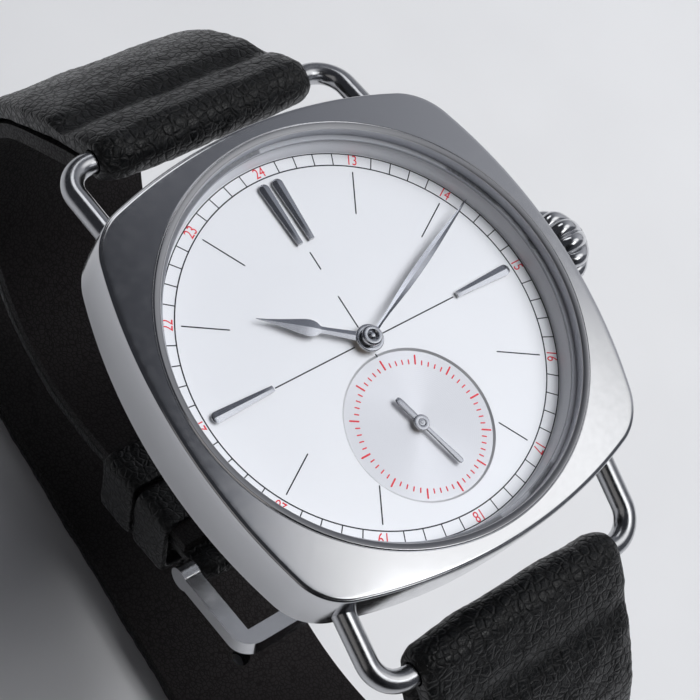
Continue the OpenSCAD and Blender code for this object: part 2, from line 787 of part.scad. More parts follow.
module cannon_pinion() {
    color("silver") calibre() {
        pinion(cannon_teeth, motion_module, facing([0, 0], motion_at), motion_z, 0.25);
        translate([0, 0, motion_z + 0.25]) ring(arbor_r, cannon_r, minute_z + hand_t - motion_z - 0.25);
    }
}

module minute_wheel() {
    color("goldenrod") calibre() translate([motion_at[0], motion_at[1], 0]) {
        wheel(minute_teeth, motion_module, facing(motion_at, [0, 0]) + 180 / minute_teeth, motion_z, 0.7);
        pinion(minute_leaves, hour_module, facing(motion_at, [0, 0]), motion_z + wheel_t, 0.4);
        arbor(motion_floor, motion_z + wheel_t + 0.4);
    }
}

module hour_wheel() {
    z = motion_z + 0.35;
    color("goldenrod") calibre() {
        translate([0, 0, z]) linear_extrude(wheel_t) difference() {
            teeth(hour_teeth, hour_module, facing([0, 0], motion_at) + 180 / hour_teeth);
            circle(r = cannon_r + run_fit);
        }
        translate([0, 0, z + wheel_t]) ring(cannon_r + run_fit, hour_tube_r, hour_z + hand_t - z - wheel_t);
    }
}

module rotor() {
    weight_w = 1.9;
    weight_h = 1;
    window_ring = 6.8;
    window_r = 1.9;
    color("silver") calibre() translate([0, 0, rotor_z]) {
        linear_extrude(0.35) difference() {
            union() {
                intersection() {
                    circle(r = rotor_r - weight_w / 2);
                    translate([-rotor_r, 0]) square([2 * rotor_r, rotor_r]);
                }
                circle(r = 3);
            }
            circle(r = rotor_post_r + run_fit);
            for (a = [36, 90, 144]) rotate(a) translate([window_ring, 0]) circle(r = window_r);
        }
        rotate_extrude(angle = 180) translate([rotor_r - weight_w, 0]) square([weight_w, weight_h]);
    }
}

module rotor_screw() {
    head_h = 0.25;
    color("steelblue") calibre() {
        translate([0, 0, rotor_z - run_fit - head_h]) difference() {
            cylinder(r = rotor_post_r + 0.6, h = head_h);
            translate([-rotor_r, -0.2, -over]) cube([2 * rotor_r, 0.4, over + 0.12]);
        }
        translate([0, 0, rotor_z - run_fit]) cylinder(r = screw_shank, h = rotor_bite + run_fit, $fn = 32);
    }
}

// The pallet bridge stands on two feet and carries the fork's lower pivot
module pallet_bridge() {
    reach = 2.3;
    z = third_z - 0.3;
    across = facing(escape_at, balance_at) - 90;
    color("gainsboro") calibre() translate([fork_at[0], fork_at[1], 0]) difference() {
        union() {
            translate([0, 0, z]) linear_extrude(0.2) rotate(across) union() {
                square([2 * reach, 0.9], center = true);
                for (s = [-1, 1]) translate([s * reach, 0]) circle(r = 0.6);
            }
            for (s = [-1, 1]) rotate(across) translate([s * reach, 0, z + 0.1])
                cylinder(r = 0.6, h = plate_z - z - 0.1);
        }
        translate([0, 0, z + 0.1]) cylinder(r = arbor_r + run_fit, h = 1, $fn = 32);
    }
}

// One bend of a strap's layer line, from one heading to another, with its thickness changing on the way
function bend(c, r, from, to, n, t0, t1, k) = [for (i = [0:n])
    along(c, r + k * (t0 + (t1 - t0) * i / n), from + (to - from) * i / n)];
knee_t = strap_t * 2 / 3 + strap_tip_t / 3;
side_t = strap_t / 3 + strap_tip_t * 2 / 3;
function shoulder_line(k) = concat(bend(shoulder_c, shoulder_r, head_0, head_1, 4, strap_t, knee_t, k),
    bend(knee_c, knee_r, head_1, 90, 6, knee_t, side_t, k));
function short_line(k) = concat(shoulder_line(k),
    bend(short_c, short_bend, 90, short_end, 16, side_t, strap_tip_t, k),
    [pin_at + k * strap_tip_t * [sin(short_end), cos(short_end)]]);
function long_line(k) = concat(shoulder_line(k),
    bend(long_c, long_bend, 90, 180, 14, side_t, strap_tip_t, k),
    [[tail_end, long_c[1] - long_bend - k * strap_tip_t]]);
function reversed(a) = [for (i = [len(a) - 1:-1:0]) a[i]];

// A side outline drawn in Y and Z, made as wide as the strap
module across(w) { rotate([90, 0, 90]) linear_extrude(w, center = true) children(); }

// The strap tapers in width from the lug to its end
module strap_widths(end_z) {
    half = strap_w / 2;
    tip = strap_tip_w / 2;
    start_z = bar_z - 6;
    rotate([90, 0, 0]) linear_extrude(6 * half_w, center = true) polygon([[-half, dome_z],
        [-half, start_z], [-tip, end_z], [-tip, floor_z - over], [tip, floor_z - over], [tip, end_z],
        [half, start_z], [half, dome_z]]);
}

// A cylinder lying along X
module lying(at, r, w) {
    translate([0, at[0], at[1]]) rotate([0, 90, 0]) cylinder(r = r, h = w, center = true);
}

// The buckle end's own frame: +Y along the strap to its tip, +Z out of its grain side
module at_pin() { translate([0, pin_at[0], pin_at[1]]) rotate([pin_turn, 0, 0]) children(); }

// Grain leather or lining of the short strap, between two shares of its thickness
module short_layer(k0, k1) {
    end_z = short_c[1] - short_bend * 0.7;
    difference() {
        intersection() {
            across(2 * strap_w) polygon(concat(short_line(k0), reversed(short_line(k1))));
            union() {
                intersection() {
                    strap_widths(end_z);
                    translate([-strap_w, tip_start[0], floor_z])
                        cube([2 * strap_w, 2 * half_w, 4 * half_w]);
                }
                translate([-strap_tip_w / 2, pin_at[0] - strap_w, floor_z])
                    cube([strap_tip_w, tip_start[0] - pin_at[0] + strap_w, 2 * half_w]);
            }
        }
        lying([bar_y, bar_z], loop_out, 2 * strap_w);
        lying(pin_at, pin_loop, 2 * strap_w);
        at_pin() translate([-tongue_w / 2 - gap, -tongue_slot, -strap_tip_t])
            cube([tongue_w + 2 * gap, 2 * tongue_slot, 2 * strap_tip_t]);
    }
}

module strap_12_outer() {
    color([0.09, 0.09, 0.1]) {
        short_layer(lining_share - 0.5, 0.5);
        difference() {
            lying([bar_y, bar_z], loop_out, strap_w);
            lying([bar_y, bar_z], loop_in, 2 * strap_w);
        }
        difference() {
            lying(pin_at, pin_loop, strap_tip_w);
            lying(pin_at, pin_r + run_fit, 2 * strap_w);
            lying(pin_at, pin_loop + over, tongue_w + 2 * gap);
        }
    }
}

module strap_12_lining() { color([0.16, 0.13, 0.12]) short_layer(-0.5, lining_share - 0.5); }

// Grain leather or lining of the long strap, with its rounded tail and adjusting holes
module long_layer(k0, k1) {
    tip = strap_tip_w / 2;
    difference() {
        intersection() {
            across(2 * strap_w) polygon(concat(long_line(k0), reversed(long_line(k1))));
            strap_widths(long_c[1] - long_bend * 0.7);
            union() {
                translate([-strap_w, tail_end + tip, floor_z - over])
                    cube([2 * strap_w, 4 * half_w, 4 * half_w]);
                translate([0, tail_end + tip, floor_z - over]) cylinder(r = tip, h = 2 * strap_tip_t);
            }
        }
        lying([bar_y, bar_z], loop_out, 2 * strap_w);
        for (i = [0:hole_count - 1]) translate([0, tail_end + hole_start + i * hole_pitch, floor_z - over])
            cylinder(r = hole_r, h = 2 * strap_tip_t + over, $fn = 32);
    }
}

module strap_6_outer() {
    color([0.09, 0.09, 0.1]) mirror([0, 1, 0]) {
        long_layer(lining_share - 0.5, 0.5);
        difference() {
            lying([bar_y, bar_z], loop_out, strap_w);
            lying([bar_y, bar_z], loop_in, 2 * strap_w);
        }
    }
}

module strap_6_lining() {
    color([0.16, 0.13, 0.12]) mirror([0, 1, 0]) long_layer(-0.5, lining_share - 0.5);
}

module buckle_bar() {
    color("silver") lying(pin_at, pin_r, frame_in + 2 * frame_bar);
}

// Rounded plan of the buckle frame
module frame_plan() {
    corner = 2;
    half = frame_in / 2 + frame_bar;
    top = frame_len + frame_bar / 2;
    translate([-half, 0]) square([2 * half, top - corner]);
    translate([corner - half, 0]) square([2 * (half - corner), top]);
    for (s = [-1, 1]) translate([s * (half - corner), top - corner]) circle(r = corner);
}

module buckle_frame() {
    ear_r = 1.15;
    color("silver") at_pin() difference() {
        union() {
            translate([0, 0, -frame_t / 2]) linear_extrude(frame_t) difference() {
                frame_plan();
                translate([-frame_in / 2, -over]) square([frame_in, over + frame_len - frame_bar / 2]);
            }
            for (s = [-1, 1]) translate([s * (frame_in + frame_bar) / 2, 0, 0]) rotate([0, 90, 0])
                cylinder(r = ear_r, h = frame_bar, center = true);
        }
        rotate([0, 90, 0]) cylinder(r = pin_r, h = 2 * strap_w, center = true);
        translate([0, frame_len, frame_t / 2 + 0.2]) rotate([90, 0, 0])
            cylinder(r = 0.45, h = 2 * frame_bar, center = true, $fn = 24);
    }
}

module buckle_tongue() {
    eye_r = pin_r + run_fit + 0.75;
    tip = tongue_w / 2;
    t = 0.7;
    color("silver") at_pin() difference() {
        union() {
            rotate([0, 90, 0]) cylinder(r = eye_r, h = tongue_w, center = true);
            translate([0, 0, tongue_z]) linear_extrude(t) {
                translate([-tip, 0]) square([tongue_w, frame_len + 0.6]);
                translate([0, frame_len + 0.6]) circle(r = tip, $fn = 24);
            }
        }
        rotate([0, 90, 0]) cylinder(r = pin_r + run_fit, h = 2 * strap_w, center = true);
    }
}

// A keeper: a leather band round the strap, with room for the tail on its grain side
module keeper(y, slack) {
    half = strap_tip_w / 2 + slack;
    low = -strap_tip_t / 2 - slack;
    high = strap_tip_t / 2 + keeper_room;
    color([0.07, 0.07, 0.08]) at_pin() translate([0, y - keeper_w / 2, 0]) difference() {
        translate([-half - keeper_wall, 0, low - keeper_wall])
            cube([2 * (half + keeper_wall), keeper_w, high - low + 2 * keeper_wall]);
        translate([-half, -over, low]) cube([2 * half, keeper_w + 2 * over, high - low]);
    }
}
module keeper_fixed() { keeper(fixed_keeper_y, 0); }
module keeper_loose() { keeper(loose_keeper_y, 0.15); }

mid_case();
bezel();
crystal();
crystal_gasket();
inner_flange();
dial();
hour_indexes();
hour_hand();
minute_hand();
seconds_hand();
caseback();
caseback_gasket();
crown();
crown_tube();
winding_stem();
wire_lug_12();
wire_lug_6();
movement_ring();
mainplate();
train_bridge();
pallet_bridge();
balance_cock();
bridge_screws();
barrel();
centre_wheel();
third_wheel();
fourth_wheel();
escape_wheel();
pallet_fork();
balance_wheel();
hairspring();
cannon_pinion();
minute_wheel();
hour_wheel();
winding_pinion();
rotor();
rotor_screw();
strap_12_outer();
strap_12_lining();
strap_6_outer();
strap_6_lining();
buckle_bar();
buckle_frame();
buckle_tongue();
keeper_fixed();
keeper_loose();
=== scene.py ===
# Cushion-cased wristwatch: the visible pieces and their finishes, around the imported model.
import math

import bpy
import numpy as np
from mathutils import Matrix, Vector


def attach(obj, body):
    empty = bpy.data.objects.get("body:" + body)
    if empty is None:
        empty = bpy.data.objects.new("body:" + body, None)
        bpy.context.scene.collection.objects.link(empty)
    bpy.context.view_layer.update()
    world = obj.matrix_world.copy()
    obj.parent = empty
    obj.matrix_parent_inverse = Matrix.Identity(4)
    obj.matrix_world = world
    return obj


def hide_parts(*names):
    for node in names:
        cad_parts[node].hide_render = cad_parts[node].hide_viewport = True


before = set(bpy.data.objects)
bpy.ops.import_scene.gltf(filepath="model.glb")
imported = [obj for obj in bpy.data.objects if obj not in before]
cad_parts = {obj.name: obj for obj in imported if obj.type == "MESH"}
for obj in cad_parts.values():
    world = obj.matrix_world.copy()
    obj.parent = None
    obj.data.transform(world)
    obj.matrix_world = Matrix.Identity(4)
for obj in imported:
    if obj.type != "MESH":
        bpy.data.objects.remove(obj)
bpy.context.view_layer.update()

MM = 0.001


# Case

# The middle case is milled from one block of 316L steel and polished by hand: a cushion with a
# softly broken upper edge, a gently domed top and a round boss below. The dial, the movement and
# the bezel ring sit in its bore.
side_behind, side_r = 24.5, 43.0           # each side is an arc, centred beyond the axis
corner_at, corner_r, edge_r = 11.667, 5.0, 0.2
wall_foot, foot_edge, wall_bow = 4.1, 0.12, 0.07
dome_top, dome_r, roll_drop, roll_width = 11.02, 160.0, 0.035, 0.6
bezel_r, bezel_gap, case_bore, back_bore = 17.2, 0.06, 16.9, 14.8
boss_r, boss_root_r, boss_foot, ledge_z, flange_top = 16.8, 18.1, 2.4, 4.3, 8.84


def case_top(r, inset=1.0):
    """Height of the domed upper surface at a distance from the axis; it rolls off at the edge."""
    return dome_top - r * r / (2 * dome_r) - roll_drop * max(0.0, 1 - inset / roll_width) ** 2


def cushion_outline():
    """Points and outward directions round the cushion: quarter by quarter, side arcs then corners."""
    turn = math.atan2(corner_at, corner_at + side_behind)
    side = [(f * turn, (-side_behind, 0), side_r) for f in np.linspace(-1, 1, 41)[:-1]]
    corner = [(turn + f * (math.pi / 2 - 2 * turn), (corner_at, corner_at), corner_r)
              for f in np.linspace(0, 1, 25)[:-1]]
    points = []
    for quarter in range(4):
        swing = Matrix.Rotation(quarter * math.pi / 2, 2)
        for angle, centre, radius in side + corner:
            out = Vector((math.cos(angle), math.sin(angle)))
            points.append((swing @ (Vector(centre) + radius * out), swing @ out))
    return points


def deselect():
    """Drops every selection, the loaded model's too."""
    if bpy.context.object and bpy.context.object.mode != "OBJECT":
        bpy.ops.object.mode_set(mode="OBJECT")
    bpy.ops.object.select_all(action="DESELECT")


def choose(piece):
    """Makes one object the selected and active one."""
    deselect()
    piece.select_set(True)
    bpy.context.view_layer.objects.active = piece


def face_outwards(piece, weld=0.0, close=False):
    """Welds points closer than a distance in metres, closes open ends if asked, and turns all
    faces out."""
    choose(piece)
    bpy.ops.object.mode_set(mode="EDIT")
    bpy.ops.mesh.select_all(action="SELECT")
    if weld:
        bpy.ops.mesh.remove_doubles(threshold=weld)
    if close:
        bpy.ops.mesh.fill_holes(sides=0)
    bpy.ops.mesh.normals_make_consistent(inside=False)
    bpy.ops.object.mode_set(mode="OBJECT")


def shaped(name, rows, wrap_rows=False, wrap_columns=True):
    """Bends a flat grid of faces into a form. Rows are lists of points in mm; a wrap joins the
    last row or column to the first."""
    rows = np.asarray(rows, dtype=float) * MM
    if wrap_rows:
        rows = np.concatenate([rows, rows[:1]])
    if wrap_columns:
        rows = np.concatenate([rows, rows[:, :1]], axis=1)
    deselect()
    bpy.ops.mesh.primitive_grid_add(x_subdivisions=rows.shape[1] - 1, y_subdivisions=rows.shape[0] - 1,
                                    size=1, location=(0, 0, 0))
    piece = bpy.context.object
    piece.name = piece.data.name = name
    piece.data.vertices.foreach_set("co", rows.reshape(-1))
    face_outwards(piece, weld=2e-7)
    return piece


def smooth(piece, degrees=35):
    """Smooth shading that keeps edges sharper than the angle."""
    choose(piece)
    bpy.ops.object.shade_smooth_by_angle(angle=math.radians(degrees))


def modify(piece, kind, **settings):
    """Adds a modifier with its settings and applies it."""
    choose(piece)
    modifier = piece.modifiers.new(kind.title(), kind)
    for key, value in settings.items():
        setattr(modifier, key, value)
    bpy.ops.object.modifier_apply(modifier=modifier.name)


def linear(code):
    """An sRGB hex colour as linear RGBA."""
    parts = [int(code[i:i + 2], 16) / 255 for i in (1, 3, 5)]
    return [c / 12.92 if c <= 0.04045 else ((c + 0.055) / 1.055) ** 2.4 for c in parts] + [1.0]


def add_node(material, kind, inputs=None, out=0, **settings):
    """Adds a shader node and gives back one of its outputs. Settings go on the node, inputs are
    values or outputs to link."""
    tree = material.node_tree
    made = tree.nodes.new("ShaderNode" + kind)
    for key, value in settings.items():
        setattr(made, key, value)
    for key, value in (inputs or {}).items():
        if isinstance(value, bpy.types.NodeSocket):
            tree.links.new(value, made.inputs[key])
        else:
            made.inputs[key].default_value = value
    return made.outputs[out]


def finish_named(name, **sockets):
    """A new material with its Principled shader's plain values."""
    material = bpy.data.materials.new(name)
    material.use_nodes = True
    feed(material, **sockets)
    return material


def feed(material, **sockets):
    """Sets sockets of the Principled shader, or links node outputs to them."""
    shader = material.node_tree.nodes["Principled BSDF"]
    for key, value in sockets.items():
        socket = shader.inputs[key.replace("_", " ")]
        if isinstance(value, bpy.types.NodeSocket):
            material.node_tree.links.new(value, socket)
        else:
            socket.default_value = value


def dress(piece, material):
    """Gives a new piece its only material."""
    piece.data.materials.clear()
    piece.data.materials.append(material)


def redress(material, *nodes):
    """Gives CAD nodes that stay as they are a better material."""
    for name in nodes:
        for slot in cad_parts[name].material_slots:
            slot.material = material


def polished(name, colour, roughness, haze_mm, haze, metallic=1.0):
    """Polished or satin metal: a mirror or a sheen, with a faint haze of fine wiping marks."""
    material = finish_named(name, Base_Color=linear(colour), Metallic=metallic, Roughness=roughness)
    place = add_node(material, "TexCoord", out="Object")
    marks = add_node(material, "TexNoise", {"Vector": place, "Scale": 1000 / haze_mm, "Detail": 4.0})
    spread = add_node(material, "MapRange", {
        "Value": marks, "From Min": 0.3, "From Max": 0.7,
        "To Min": roughness * (1 - haze), "To Max": roughness * (1 + haze)})
    feed(material, Roughness=spread)
    return material


case_steel = polished("polished_316L_steel", "#cfd0d3", 0.16, haze_mm=0.6, haze=0.25)

outline = cushion_outline()
case_rows = []


def case_round(r, z):
    """A row of the case that is a circle, at the outline's own angles."""
    case_rows.append([(p.x / p.length * r, p.y / p.length * r, z) for p, out in outline])


def case_wall(inset, z=None):
    """A row that follows the cushion, set in from it; without a height it lies on the dome."""
    points = [p - out * inset for p, out in outline]
    case_rows.append([(p.x, p.y, case_top(p.length, inset) if z is None else z) for p in points])


case_round(back_bore, boss_foot)
case_round(boss_r, boss_foot)
case_round(boss_root_r, wall_foot)
case_wall(0.22, wall_foot)
case_wall(0.06, wall_foot + 0.08)
for share in (0.04, 0.2, 0.4, 0.6, 0.8, 1.0):          # the wall bows out by a hair
    bow = wall_bow * (2 * share - 1) ** 2
    case_rows.append([])
    for p, out in outline:
        wall_h = case_top(p.length, wall_bow) - edge_r - wall_foot - foot_edge
        case_rows[-1].append((p.x - out.x * bow, p.y - out.y * bow, wall_foot + foot_edge + share * wall_h))
for a in np.radians((15, 30, 45, 60, 75, 88)):          # the upper edge, eased by the polishing wheel
    inset, drop = wall_bow + edge_r * (1 - math.cos(a)), edge_r * (1 - math.sin(a))
    case_rows.append([(p.x - o.x * inset, p.y - o.y * inset, case_top(p.length, inset) - drop)
                      for p, o in outline])
for inset in (0.32, 0.42, 0.55, 0.7, 0.85):
    case_wall(inset)
for share in (0.0, 0.25, 0.5, 0.75, 1.0):
    case_rows.append([])
    for p, out in outline:
        at = (p - out).lerp(p.normalized() * (bezel_r + bezel_gap), share)
        case_rows[-1].append((at.x, at.y, case_top(at.length)))
case_round(bezel_r, case_top(bezel_r) - bezel_gap)
case_round(bezel_r, flange_top)
case_round(case_bore, flange_top)
case_round(case_bore, ledge_z)
case_round(back_bore, ledge_z)

case = shaped("case_middle", case_rows, wrap_rows=True)
smooth(case)
dress(case, case_steel)
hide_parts("mid_case")
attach(case, "head")


# Bezel ring and crystal

# A narrow turned steel ring is pressed over the crystal's edge. The crystal is sapphire, ground
# to a low dome and coated against reflections; a nylon gasket under it seals the case.
on_axis = 1e-3            # the smallest radius that is drawn, in mm


def turned(name, profile, sides=192, edge_mm=0.0):
    """Turns a closed section of radii and heights in mm: a circle is drawn out ring by ring."""
    deselect()
    radius, height = max(profile[0][0], on_axis), profile[0][1]
    bpy.ops.mesh.primitive_circle_add(vertices=sides, radius=radius * MM, location=(0, 0, height * MM))
    piece = bpy.context.object
    piece.name = piece.data.name = name
    bpy.ops.object.transform_apply(location=True)
    bpy.ops.object.mode_set(mode="EDIT")
    bpy.ops.mesh.select_all(action="SELECT")
    for r, z in profile[1:]:
        r = max(r, on_axis)
        bpy.ops.mesh.extrude_edges_move(TRANSFORM_OT_translate={"value": (0, 0, (z - height) * MM)})
        bpy.ops.transform.resize(value=(r / radius, r / radius, 1), center_override=(0, 0, z * MM))
        radius, height = r, z
    meets_axis = min(r for r, z in profile) == 0
    face_outwards(piece, weld=2.5e-6 if meets_axis else 1e-7)
    if edge_mm:
        modify(piece, "BEVEL", width=edge_mm * MM, segments=2, limit_method="ANGLE",
               angle_limit=math.radians(25))
    return piece


def settle(piece, node, body, material, degrees=35):
    """Smooths and dresses a piece that stands for a CAD node, and says where it belongs."""
    smooth(piece, degrees)
    dress(piece, material)
    if node:
        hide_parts(node)
    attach(piece, body)


bezel_in, bezel_top, bezel_edge, crystal_edge, crystal_foot = 16.6, 10.19, 0.1, 10.09, 9.14
bezel = turned("bezel_ring", [
    (bezel_in, crystal_foot), (bezel_r, crystal_foot), (bezel_r, bezel_top - bezel_edge),
    (bezel_r - bezel_edge, bezel_top), (bezel_in + 0.06, crystal_edge + 0.02),
    (bezel_in, crystal_edge - 0.04), (bezel_in, crystal_foot)], edge_mm=0.03)

# Turned on the lathe and only lightly buffed, softer than the case. Its band is coloured a darker grey
# than the steel as painted shade, and its outer edge is broken by a polished chamfer coloured near-white
# as a painted highlight; its inner wall is silvered. Here and below, a scale of N / MM draws N rings,
# grains or pores to the millimetre.
bezel_steel = finish_named("turned_bezel_steel")
place = add_node(bezel_steel, "TexCoord", out="Object")
across = add_node(bezel_steel, "VectorMath", {0: place, 1: (1, 1, 0)}, operation="MULTIPLY")
from_axis = add_node(bezel_steel, "VectorMath", {0: across}, operation="LENGTH", out="Value")
chamfer_in = bezel_r - bezel_edge
at_edge = add_node(bezel_steel, "MapRange", {"Value": from_axis, "From Min": (chamfer_in - 0.03) * MM,
                                             "From Max": chamfer_in * MM})
lathe = add_node(bezel_steel, "TexNoise", {"W": from_axis, "Scale": 20 / MM, "Detail": 2.0},
                 noise_dimensions="1D")
band_rough = add_node(bezel_steel, "MapRange", {"Value": lathe, "To Min": 0.26, "To Max": 0.34})
edge_rough = add_node(bezel_steel, "Mix", {0: at_edge, 2: band_rough, 3: 0.12})
# Painted shade and highlight: the band is coloured darker grey and the chamfer near-white.
band_shade_edge_highlight = add_node(bezel_steel, "Mix", {0: at_edge, 6: linear("#909195"), 7: linear("#f0f0f2")},
                     data_type="RGBA", out=2)
inner_wall = add_node(bezel_steel, "MapRange", {
    "Value": from_axis, "From Min": (bezel_in + 0.03) * MM, "From Max": (bezel_in + 0.05) * MM,
    "To Min": 0.1, "To Max": 1.0})
wall_tint = add_node(bezel_steel, "Mix", {0: inner_wall, 6: linear("#c4c4c7"), 7: band_shade_edge_highlight},
                     data_type="RGBA", out=2)
feed(bezel_steel, Base_Color=wall_tint, Metallic=inner_wall, Roughness=edge_rough)
settle(bezel, "bezel", "head", bezel_steel)

crystal_dome, crystal_r = 0.6, bezel_in - 0.01
dome_radius = (bezel_in ** 2 + crystal_dome ** 2) / (2 * crystal_dome)
dome = [(crystal_r * f, crystal_edge + crystal_dome - (crystal_r * f) ** 2 / (2 * dome_radius))
        for f in (1, 0.97, 0.85, 0.7, 0.55, 0.4, 0.25, 0.1, 0)]
crystal = turned("domed_crystal", [(0, crystal_foot), (crystal_r, crystal_foot)] + dome)

# Coated sapphire: clear, with a faint mirror on the dome that grows towards the rim, and open to
# lamp light.
sapphire = finish_named("coated_sapphire")
glare = add_node(sapphire, "BsdfGlossy", {"Color": linear("#eceffc"), "Roughness": 0.03})
clear = add_node(sapphire, "BsdfTransparent", {"Color": linear("#fcfdff")})
rim = add_node(sapphire, "Fresnel", {"IOR": 1.14})
facing = add_node(sapphire, "NewGeometry", out="Normal")
upright = add_node(sapphire, "SeparateXYZ", {0: facing}, out="Z")
on_top = add_node(sapphire, "Math", {0: upright, 1: 0.7}, operation="GREATER_THAN")
from_inside = facing.node.outputs["Backfacing"]
outside = add_node(sapphire, "Math", {0: on_top, 1: from_inside}, operation="GREATER_THAN")
mirror = add_node(sapphire, "Math", {0: rim, 1: outside}, operation="MULTIPLY")
coat = add_node(sapphire, "MixShader", {"Fac": mirror, 1: clear, 2: glare})
to_lamp = add_node(sapphire, "LightPath", out="Is Shadow Ray")
lamps_pass = add_node(sapphire, "MixShader", {"Fac": to_lamp, 1: coat, 2: clear})
sapphire.node_tree.links.new(lamps_pass, sapphire.node_tree.nodes["Material Output"].inputs["Surface"])
settle(crystal, "crystal", "head", sapphire)

# Moulded nylon: an even grey with a soft, slightly waxy gloss.
nylon = finish_named("moulded_nylon", Base_Color=linear("#a4a5a9"), Roughness=0.45, IOR=1.53)
gasket_in, gasket_out = 16.2, 17.19
gasket = turned("crystal_seal", [
    (gasket_in, flange_top), (gasket_out, flange_top), (gasket_out, crystal_foot),
    (gasket_in, crystal_foot), (gasket_in, flange_top)], edge_mm=0.05)
settle(gasket, "crystal_gasket", "head", nylon)


# Inner flange

# The sloping ring between dial and crystal, turned and silvered like the dial, with a satin
# finish and a narrow flat lip under the gasket.
dial_z, flange_in = 7.4, 16.0
flange = turned("inner_flange_ring", [
    (flange_in, dial_z), (flange_in + 0.03, dial_z + 0.12), (flange_in + 0.42, flange_top - 0.1),
    (flange_in + 0.5, flange_top), (case_bore - 0.01, flange_top), (case_bore - 0.01, dial_z),
    (flange_in, dial_z)], sides=256)
flange_silver = polished("satin_silver_flange", "#e6e6e8", 0.42, haze_mm=0.4, haze=0.05, metallic=0.2)
settle(flange, "inner_flange", "head", flange_silver, degrees=25)


# Dial

# A brass blank, silvered and lacquered, with a fine even grain. The small seconds dial is sunk
# into it and turned with concentric grooves. Printing is pad-printed ink in black and red.
dial_under, dial_hole, dial_r, arbor_hole = 7.0, 0.8, case_bore - 0.02, 0.4
seconds_y, seconds_r, seconds_deep = -7.4, 6.15, 0.15
small_z = dial_z - seconds_deep
dial = turned("silvered_dial", [(dial_hole, dial_under), (dial_r, dial_under), (dial_r, dial_z),
                                (dial_hole, dial_z), (dial_hole, dial_under)], sides=256)


def carve(piece, cutter):
    """Cuts one object out of another and throws the cutter away."""
    modify(piece, "BOOLEAN", operation="DIFFERENCE", object=cutter, solver="EXACT")
    bpy.data.objects.remove(cutter)


sink = turned("sink_cutter", [(0, small_z), (seconds_r - 0.18, small_z), (seconds_r, dial_z + 0.01),
                              (seconds_r, dial_z + 0.5), (0, dial_z + 0.5)])
bore = turned("arbor_cutter", [(0, dial_under - 1), (arbor_hole, dial_under - 1), (arbor_hole, dial_z + 1),
                               (0, dial_z + 1)], 48)
for cutter in (sink, bore):
    choose(cutter)
    bpy.ops.transform.translate(value=(0, seconds_y * MM, 0))
    bpy.ops.object.transform_apply(location=True)
    carve(dial, cutter)

# Silvering under clear lacquer: pale grey-white with a soft grain. The sunk dial is a shade
# darker; its fine turned grooves spread the light in two fans, and its edge is bare and polished.
groove_pitch, grooves_end, grooves_start, bright_r = 0.16, 5.98, 5.93, 6.06
silvering = finish_named("silvered_lacquer", Roughness=0.42, Coat_Weight=0.25, Coat_Roughness=0.2)
place = add_node(silvering, "TexCoord", out="Object")
from_small = add_node(silvering, "VectorMath", {0: place, 1: (0, seconds_y * MM, small_z * MM)},
                      operation="SUBTRACT")
reach = add_node(silvering, "VectorMath", {0: from_small}, operation="LENGTH", out="Value")
in_small = add_node(silvering, "MapRange", {
    "Value": reach, "From Min": grooves_end * MM, "From Max": grooves_start * MM},
    interpolation_type="SMOOTHSTEP")
grain = add_node(silvering, "TexNoise", {"Vector": place, "Scale": 9 / MM, "Detail": 3.0})
cloud = add_node(silvering, "TexNoise", {"Vector": place, "Scale": 0.12 / MM, "Detail": 2.0})
groove = add_node(silvering, "Math", {0: reach, 1: 2 * math.pi / (groove_pitch * MM)}, operation="MULTIPLY")
wave = add_node(silvering, "Math", {0: groove}, operation="SINE")
turned_part = add_node(silvering, "Math", {0: wave, 1: in_small}, operation="MULTIPLY")
plain = add_node(silvering, "Mix", {0: cloud, 6: linear("#eeedec"), 7: linear("#f4f3f1")},
                 data_type="RGBA", out=2)
small = add_node(silvering, "Mix", {0: in_small, 6: plain, 7: linear("#e9e8e8")}, data_type="RGBA", out=2)
relief = add_node(silvering, "Math", {0: turned_part, 1: 0.5, 2: grain}, operation="MULTIPLY_ADD")
bump = add_node(silvering, "Bump", {"Height": relief, "Distance": 0.0025 * MM, "Strength": 0.6})
to_edge = add_node(silvering, "Math", {0: reach, 1: bright_r * MM}, operation="SUBTRACT")
off_edge = add_node(silvering, "Math", {0: to_edge}, operation="ABSOLUTE")
bright_edge = add_node(silvering, "MapRange", {
    "Value": off_edge, "From Min": 0.13 * MM, "From Max": 0.09 * MM, "To Min": 0.25, "To Max": 0.7})
sheen = add_node(silvering, "Math", {0: in_small, 1: 0.32}, operation="MULTIPLY")
metal_part = add_node(silvering, "Math", {0: bright_edge, 1: sheen}, operation="MAXIMUM")
stretch = add_node(silvering, "Math", {0: in_small, 1: 0.9}, operation="MULTIPLY")
feed(silvering, Base_Color=small, Metallic=metal_part, Normal=bump, Anisotropic=stretch, Tangent=from_small)
settle(dial, "dial", "head", silvering, degrees=30)


def ink(name, colour):
    """Pad-printed lacquer ink: dense and slightly glossy, thinning a little here and there."""
    material = finish_named(name, Roughness=0.38, IOR=1.5)
    place = add_node(material, "TexCoord", out="Object")
    speck = add_node(material, "TexNoise", {"Vector": place, "Scale": 4 / MM, "Detail": 2.0})
    tint = add_node(material, "Mix", {0: speck, 6: linear(colour[0]), 7: linear(colour[1])},
                    data_type="RGBA", out=2)
    feed(material, Base_Color=tint)
    return material


black_ink = ink("black_dial_ink", ("#0c0d10", "#1c1e23"))
red_ink = ink("red_dial_ink", ("#d8202f", "#e63a46"))
ink_h, eased = 0.012, 0.6              # height of the ink; share of a stroke's width left at its ends


def direction(angle):
    """Across the dial, clockwise from 12, as seen by the wearer."""
    return Vector((math.sin(math.radians(angle)), math.cos(math.radians(angle))))


def join(pieces, name):
    """Joins pieces into the first one and names it."""
    choose(pieces[0])
    for other in pieces[1:]:
        other.select_set(True)
    bpy.ops.object.join()
    joined = bpy.context.object
    joined.name = joined.data.name = name
    return joined


